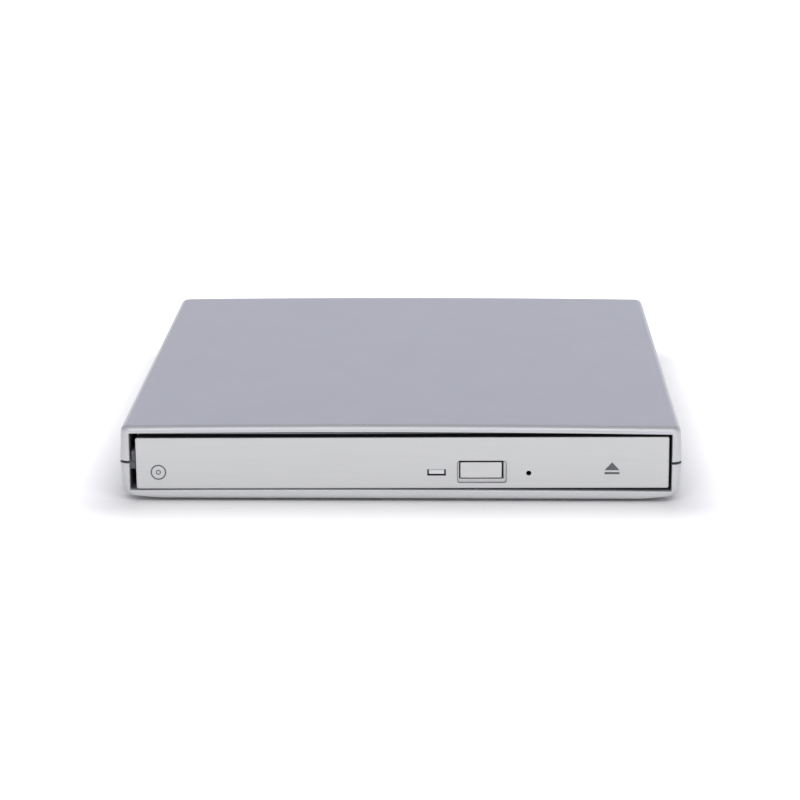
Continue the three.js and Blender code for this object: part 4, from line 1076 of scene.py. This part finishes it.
def threaded_shaft():
    """The lead screw along X: a plain journal at each end and a one-start thread between them."""
    radius, lead, sides = LEAD_SCREW["r"], LEAD_SCREW["lead"], 36
    rings = []

    def ring(x, radius_at):
        turns = [2 * math.pi * k / sides for k in range(sides)]
        rings.append([(x, radius_at(a) * math.cos(a), radius_at(a) * math.sin(a)) for a in turns])

    for x, r in ((6.6, 0.65), (6.7, 0.8), (7.6, 0.8), (7.9, 1.0)):
        ring(x, lambda a, r=r: r)
    steps = 260
    for k in range(steps + 1):
        x = 8.2 + 49 * k / steps

        def crest(a, x=x):
            phase = (x / lead - a / (2 * math.pi)) % 1
            slope = (abs(phase - 0.5) * 2 - 0.3) / 0.35
            return radius - 0.38 * min(max(slope, 0), 1)

        ring(x, crest)
    for x, r in ((57.4, 0.95), (57.6, 0.8), (60.2, 0.8), (60.3, 0.65)):
        ring(x, lambda a, r=r: r)
    return loft(rings)


def traverse():
    for name, side in (("main", ROD["main"]), ("sub", ROD["sub"])):
        shape = rod(ROD["r"], ROD["to"] - ROD["from"], (ROD["from"], side, ROD["z"]), "X", 0.2, 48)
        instead_of(f"guide_rod_{name}", placed(shape, TRAVERSE))
    height = Matrix.Translation((0, LEAD_SCREW["across"], ROD["z"]))
    instead_of("lead_screw", placed(threaded_shaft(), TRAVERSE @ height), smooth=50)
    can = [(0, -8.6), (1, -8.6), (1, -8), (2, -8), (2.2, -7.8), (2.2, -6.6), (2.1, -6.5), (2.1, -6.3)]
    can += [(2.2, -6.2), (2.2, 6), (2, 6.2), (1, 6.2), (0, 6.2)]
    shape = lathe(can, (0, LEAD_SCREW["across"], ROD["z"]), "X", 64)
    instead_of("sled_motor", placed(shape, TRAVERSE))
    ring = [(1.5, 5), (3.4, 5), (3.6, 5.1), (3.6, 5.2), (3.5, 5.3), (2.5, 5.3), (2.4, 5.45), (2.4, 7.35)]
    ring += [(2.5, 7.5), (3.4, 7.5), (3.6, 7.65), (3.6, 7.95), (3.4, 8.1), (1.65, 8.1), (1.5, 7.95)]
    for number, (along, side) in enumerate(DAMPERS, 1):
        shape = placed(lathe(ring, (along, side, 0), steps=48), TRAVERSE)
        instead_of(f"traverse_damper_{number}", shape)


def pickup():
    """The sled with its rack follower, laser can and cover, and the lens in its holder between two coils."""
    instead_of("pickup_body", soften(cad_shape("pickup_body"), 0.14, 2))
    follower = block((20, 25.8), (17.5, 18.2), (6.4, 8.4))
    teeth = [prism([(x - 0.7, 18.1), (x + 0.7, 18.1), (x + 0.25, 18.6), (x - 0.25, 18.6)], "Z", 6.5, 8.3)
             for x in (21.4, 24.4)]
    instead_of("rack_follower", placed(together(soften(follower, 0.1), *teeth), TRAVERSE))
    along = 24
    low, high = 7.9, 10
    holder = soften(block((along - 2.1, along + 2.1), (-2.5, 2.5), (low, high - 0.05)), 0.25, 3)
    coils = [soften(block((along - 2.4, along + 2.4), (side * 2.9 - 0.45, side * 2.9 + 0.45),
                          (low + 0.3, high - 0.5)), 0.2, 3) for side in (-1, 1)]
    collar = lathe([(1.95, high - 0.3), (2.15, high - 0.3), (2.15, high + 0.12), (1.95, high + 0.2)],
                   (along, 0, 0), steps=64)
    turns = [math.pi / 2 * k / 12 for k in range(12)]
    curve = [(1.95 * math.cos(a), 10.02 + 0.6 * math.sin(a)) for a in turns]
    glass = lathe([(0, 9.7), (1.95, 9.7), *curve, (0, 10.62)], (along, 0, 0), steps=64)
    shape = together(holder, collar, paint(together(*coils), 1), paint(glass, 2))
    instead_of("objective_lens", placed(shape, TRAVERSE), ["dark_plastic", "coil", "lens"])
    can = [(0, 0), (1.5, 0), (1.5, 0.25), (1.15, 0.3), (1.15, 0.9), (0, 0.9)]
    laser = lathe(rounded(can, 0.06, 2, closed=False), (18, -6, 9.15))
    plate = soften(block((16.2, 19.8), (1.5, 9.5), (9.15, 9.32)), 0.06)
    piece("pickup_laser_can", placed(laser, TRAVERSE), "polished_steel", "pickup", finishes=["gold"])
    piece("pickup_cover", placed(plate, TRAVERSE), "sheet_steel", "pickup")


# ---------------------------------------------------------------- boards


def leaded_chip(node, count, pitch, reach=0.9):
    """A moulded chip with a row of bent leads on each side and a dimple in one corner."""
    low, high = corners(node)
    centre = middle(node)
    half = (high.x - low.x) / 2
    body = soften(block((low.x, high.x), (low.y, high.y), (low.z + 0.08, high.z)), 0.1)
    dimple = rod(0.45, 1, (low.x + 1.2, low.y + 1.2, high.z - 0.12), "Z", 0.03)
    body = less(body, dimple)
    z0, z1 = low.z, low.z + (high.z - low.z) * 0.55
    bend = [
        (half - 0.1, z1), (half + 0.35, z1), (half + 0.55, z0 + 0.14), (half + reach, z0 + 0.14),
        (half + reach, z0), (half + 0.45, z0), (half + 0.25, z1 - 0.14), (half - 0.1, z1 - 0.14),
    ]
    leads = []
    for turn in range(4):
        for k in range(count):
            offset = (k - (count - 1) / 2) * pitch
            lead = prism(bend, "Y", offset - pitch * 0.2, offset + pitch * 0.2)
            side = Matrix.Translation((centre.x, centre.y, 0)) @ Matrix.Rotation(math.pi / 2 * turn, 4, "Z")
            leads.append(placed(lead, side))
    instead_of(node, together(body, paint(together(*leads), 1)), ["chip", "tin"])


def small_parts(name, body, top, places):
    """Tiny two-ended parts on a board. Each place is x, y and whether the part lies along Y."""
    shapes = []
    for number, (x, y, lengthways) in enumerate(places):
        size = 0.5 + 0.12 * (number * 7 % 4)
        half_x, half_y = size * 0.6, size * 0.48
        centre = block((x - half_x, x + half_x), (y - half_y, y + half_y), (top, top + 0.42))
        middles = [x + s * size for s in (-0.72, 0.72)]
        end_y, end_z = (y - size / 2, y + size / 2), (top, top + 0.45)
        ends = [block((at - 0.22, at + 0.22), end_y, end_z) for at in middles]
        shape = together(paint(centre, number % 3 // 2 * 2), paint(together(*ends), 1))
        if lengthways:
            spot = Matrix.Translation((x, y, 0))
            shape = placed(shape, spot @ Matrix.Rotation(math.pi / 2, 4, "Z") @ spot.inverted())
        shapes.append(shape)
    piece(name, together(*shapes), "chip", body, finishes=["chip", "tin", "connector"])


def boards():
    leaded_chip("main_chip", 22, 0.5)
    leaded_chip("bridge_chip", 9, 0.55, 0.8)
    rear = [(x, y, (x + y) % 2 == 0) for y in (36, 39, 47, 50, 53) for x in range(-44, 36, 5)
            if abs(x - 6) > 9 or y > 53]
    side = [(x, y, (x + y) % 2 == 1) for x in (40, 46.5, 52.5) for y in range(-2, 32, 6)]
    small_parts("main_board_parts", "root", corners("main_board")[1].z, rear + side)
    places = [(x, y, x % 2 == 0) for x in (8, 10, 12, 14) for y in (62.2, 64.6, 67)]
    places += [(-26, 63.5, True), (-24, 66, False), (-27, 67, False), (-10.5, 62, True)]
    small_parts("bridge_board_parts", "root", corners("bridge_board")[1].z, places)
    front = [(x, BODY_FRONT + y, x % 2 == 0) for x in (5.5, 12.5, 24.5) for y in (4, 6.4)]
    small_parts("front_board_parts", "tray", corners("front_board")[1].z, front)
    low, high = corners("capacitor")
    place = middle("capacitor")
    r, height = (high.x - low.x) / 2, high.z - low.z
    profile = [
        (0, 0), (r, 0), (r, 0.7), (r - 0.15, 0.85), (r, 1), (r, height - 0.3), (r - 0.3, height - 0.02),
        (r - 0.45, height), (r - 0.5, height - 0.08), (0, height - 0.08),
    ]
    can = lathe(rounded(profile, 0.1, 2, closed=False), (place.x, place.y, low.z), steps=64)
    cross = [block((place.x - a, place.x + a), (place.y - b, place.y + b), (high.z - 0.14, high.z + 1))
             for a, b in ((r * 0.6, 0.08), (0.08, r * 0.6))]
    can = paint(less(can, *cross), 1, lambda c: c.z > high.z - 0.16 and (c.xy - place.xy).length < r - 0.4)
    instead_of("capacitor", can, ["dark_plastic", "tin"])


def ribbon():
    """The flat cable, as one thin strip: along the board, round, and forward again under the deck."""
    low, high = corners("ribbon_cable")
    x0, x1, z0, z1 = low.x, high.x, low.z + 0.1, high.z - 0.1
    half_thick, fixed_run = 0.08, 15.4
    bend, radius = high.y - (high.z - low.z) / 2, (z1 - z0) / 2
    run = bend - low.y - fixed_run
    path = [(bend - run * (1 - k / 24), z0) for k in range(24)]
    path += arc((bend, (z0 + z1) / 2), radius, -90, 90, 96)
    path += [(bend - (bend - low.y) * k / 32, z1) for k in range(1, 33)]
    path = [Vector(point) for point in path]
    rings = []
    for i, here in enumerate(path):
        along = (path[min(i + 1, len(path) - 1)] - path[max(i - 1, 0)]).normalized()
        out = Vector((along.y, -along.x)) * half_thick
        rings.append([(x0, *(here + out)), (x1, *(here + out)), (x1, *(here - out)), (x0, *(here - out))])
    strip = piece("ribbon_cable_shape", loft(rings), "ribbon", None, ["ribbon_cable"])
    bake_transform(strip)


def softened_nodes():
    """The rest of the metal and moulded parts: the CAD's own solids with their edges rounded."""
    widths = {
        "drive_chassis": 0.25, "drive_cover": 0.25, "tray_shield": 0.12, "traverse_frame": 0.16,
        "outer_rail_left": 0.1, "outer_rail_right": 0.1, "middle_rail_left": 0.12, "middle_rail_right": 0.12,
        "main_board": 0.08, "bridge_board": 0.08, "front_board": 0.06, "bridge_plug": 0.15,
        "drive_sata_socket": 0.15, "board_ribbon_socket": 0.15, "tray_ribbon_socket": 0.15,
        "activity_led": 0.15, "eject_switch": 0.15, "lock_lever": 0.14, "latch_pin": 0.12,
        "disc_claw_1": 0.12, "disc_claw_2": 0.12, "disc_claw_3": 0.12,
    }
    for node, width in widths.items():
        instead_of(node, soften(cad_shape(node), width))


# ---------------------------------------------------------------- studio

SKY = [
    (0, (0.95, 0.95, 0.95)), (0.12, (0.82, 0.83, 0.88)), (0.3, (0.46, 0.475, 0.67)),
    (0.52, (0.2, 0.2, 0.25)), (0.8, (0.14, 0.14, 0.15)),
]
CAMERA = {"place": (0.01489, -0.65409, 0.18009), "turn": (-1.4555, 14.8421, -0.2726), "lens": 114}
LIGHTS = {
    "key": {"place": (0.1, -0.92, 1.08), "size": (1.5, 0.7), "watts": 9.1},
    "side_left": {"place": (-1.0, -0.8, 0.55), "size": (0.5, 0.5), "watts": 1.4},
    "side_right": {"place": (1.0, -0.8, 0.55), "size": (0.5, 0.5), "watts": 2.2},
}
# The floor's painted glow: its centre, strengths, distances and the ramp beyond the drive's outline.
PAINTED_FLOOR_GLOW = {"centre": (-0.03, -0.2, 0), "strengths": (0.52, 0.75), "distances": (0.09, 0.5), "ramp": 18}


def camera():
    """The camera stands in front of the drive and a little to its right, looking down on it."""
    data = bpy.data.cameras.new("camera")
    data.lens = CAMERA["lens"]
    data.sensor_width = 36
    data.clip_start = 0.05
    view = added("camera", data)
    yaw, pitch, roll = (math.radians(a) for a in CAMERA["turn"])
    ahead = Vector((math.sin(yaw) * math.cos(pitch), math.cos(yaw) * math.cos(pitch), -math.sin(pitch)))
    sideways = Vector((math.cos(yaw), -math.sin(yaw), 0))
    upright = sideways.cross(ahead)
    right = sideways * math.cos(roll) + upright * math.sin(roll)
    up = upright * math.cos(roll) - sideways * math.sin(roll)
    turn = Matrix((right, up, -ahead)).transposed().to_4x4()
    view.matrix_world = Matrix.Translation(CAMERA["place"]) @ turn
    bpy.context.scene.camera = view


def soft_box(name, place, size, watts):
    """A rectangular light that faces the middle of the drive."""
    data = bpy.data.lights.new(name, "AREA")
    data.shape = "RECTANGLE"
    data.size, data.size_y = size
    data.energy = watts
    lamp = added(name, data)
    lamp.location = place
    lamp.rotation_euler = (-Vector(place)).to_track_quat("-Z", "Y").to_euler()


def surroundings():
    """A pale room: white at the horizon, bluish grey higher up, and dimmer to the sides."""
    world = bpy.data.worlds.new("studio")
    bpy.context.scene.world = world
    world.use_nodes = True
    tree = world.node_tree
    background = tree.nodes["Background"]
    place = shader_node(tree, "TexCoord").outputs["Generated"]
    parts = shader_node(tree, "SeparateXYZ", Vector=place)
    ramp = shader_node(tree, "ValToRGB", Fac=parts.outputs["Z"])
    give(tree, ramp.outputs["Color"], background.inputs["Color"])
    stops = ramp.color_ramp.elements
    for position, colour in SKY:
        stop = stops[0] if position == 0 else stops.new(position)
        stop.position = position
        stop.color = (*colour, 1)
    stops.remove(stops[-1])
    squared = shader_node(tree, "Math")
    squared.operation = "MULTIPLY"
    for socket in squared.inputs[:2]:
        give(tree, parts.outputs["X"], socket)
    dimmed = shader_node(tree, "MapRange", Value=squared.outputs["Value"], To_Min=1.5, To_Max=0.3)
    give(tree, dimmed.outputs["Result"], background.inputs["Strength"])


def floor():
    """A pale floor with painted light: it glows, more with distance and not under or right beside the drive,
    so that it runs out into white and leaves painted shade round the drive.
    """
    finish = Finish("floor", roughness=0.5)
    speckle = finish.spread(finish.noise(30, detail=4), 0, 1)
    finish.colours(speckle, (0.875, 0.87, 0.85), (0.895, 0.89, 0.87))
    finish.bump(finish.noise(2), 0.002)
    away = finish.node("VectorMath")
    away.operation = "DISTANCE"
    give(finish.tree, finish.place, away.inputs[0])
    away.inputs[1].default_value = PAINTED_FLOOR_GLOW["centre"]
    parts = finish.node("SeparateXYZ", Vector=finish.place)
    squares = []
    for axis, start in (("X", HALF - 4), ("Y", BACK - 0.5)):
        reach = finish.maths("ABSOLUTE", parts.outputs[axis])
        past = finish.spread(reach, 0, 1, start * MM, (start + PAINTED_FLOOR_GLOW["ramp"]) * MM)
        squares.append(finish.maths("MULTIPLY", past, past))
    painted_glow_mask = finish.spread(finish.maths("SQRT", finish.maths("ADD", *squares)), 0, 1, 0, 1)
    painted_glow = finish.spread(away.outputs["Value"], *PAINTED_FLOOR_GLOW["strengths"], *PAINTED_FLOOR_GLOW["distances"])
    give(finish.tree, finish.maths("MULTIPLY", painted_glow, painted_glow_mask), finish.shader.inputs["Emission Strength"])
    finish.shader.inputs["Emission Color"].default_value = (1, 1, 1, 1)
    bm = bmesh.new()
    bmesh.ops.create_grid(bm, x_segments=8, y_segments=8, size=5)
    mesh = bpy.data.meshes.new("floor")
    bm.to_mesh(mesh)
    bm.free()
    mesh.materials.append(finish.material)
    sheet = added("floor", mesh)


def studio():
    bpy.context.scene.view_settings.view_transform = "Standard"
    surroundings()
    for name, light in LIGHTS.items():
        soft_box(name, **light)
    floor()


# ---------------------------------------------------------------- assembly


def plain_nodes():
    """Gives each CAD node that is still shown the finish of its slot."""
    for name, node in frame["nodes"].items():
        if not node.hide_render:
            for holder in node.material_slots:
                holder.material = MATERIALS[SLOT_OF[name]]


camera()
make_materials()
studio()
top_case()
bottom_case()
feet()
screws()
bezel()
eject_button()
led_window()
bezel_print()
usb_socket()
power_socket()
tray()
tray_fittings()
spindle()
traverse()
pickup()
boards()
ribbon()
softened_nodes()
plain_nodes()
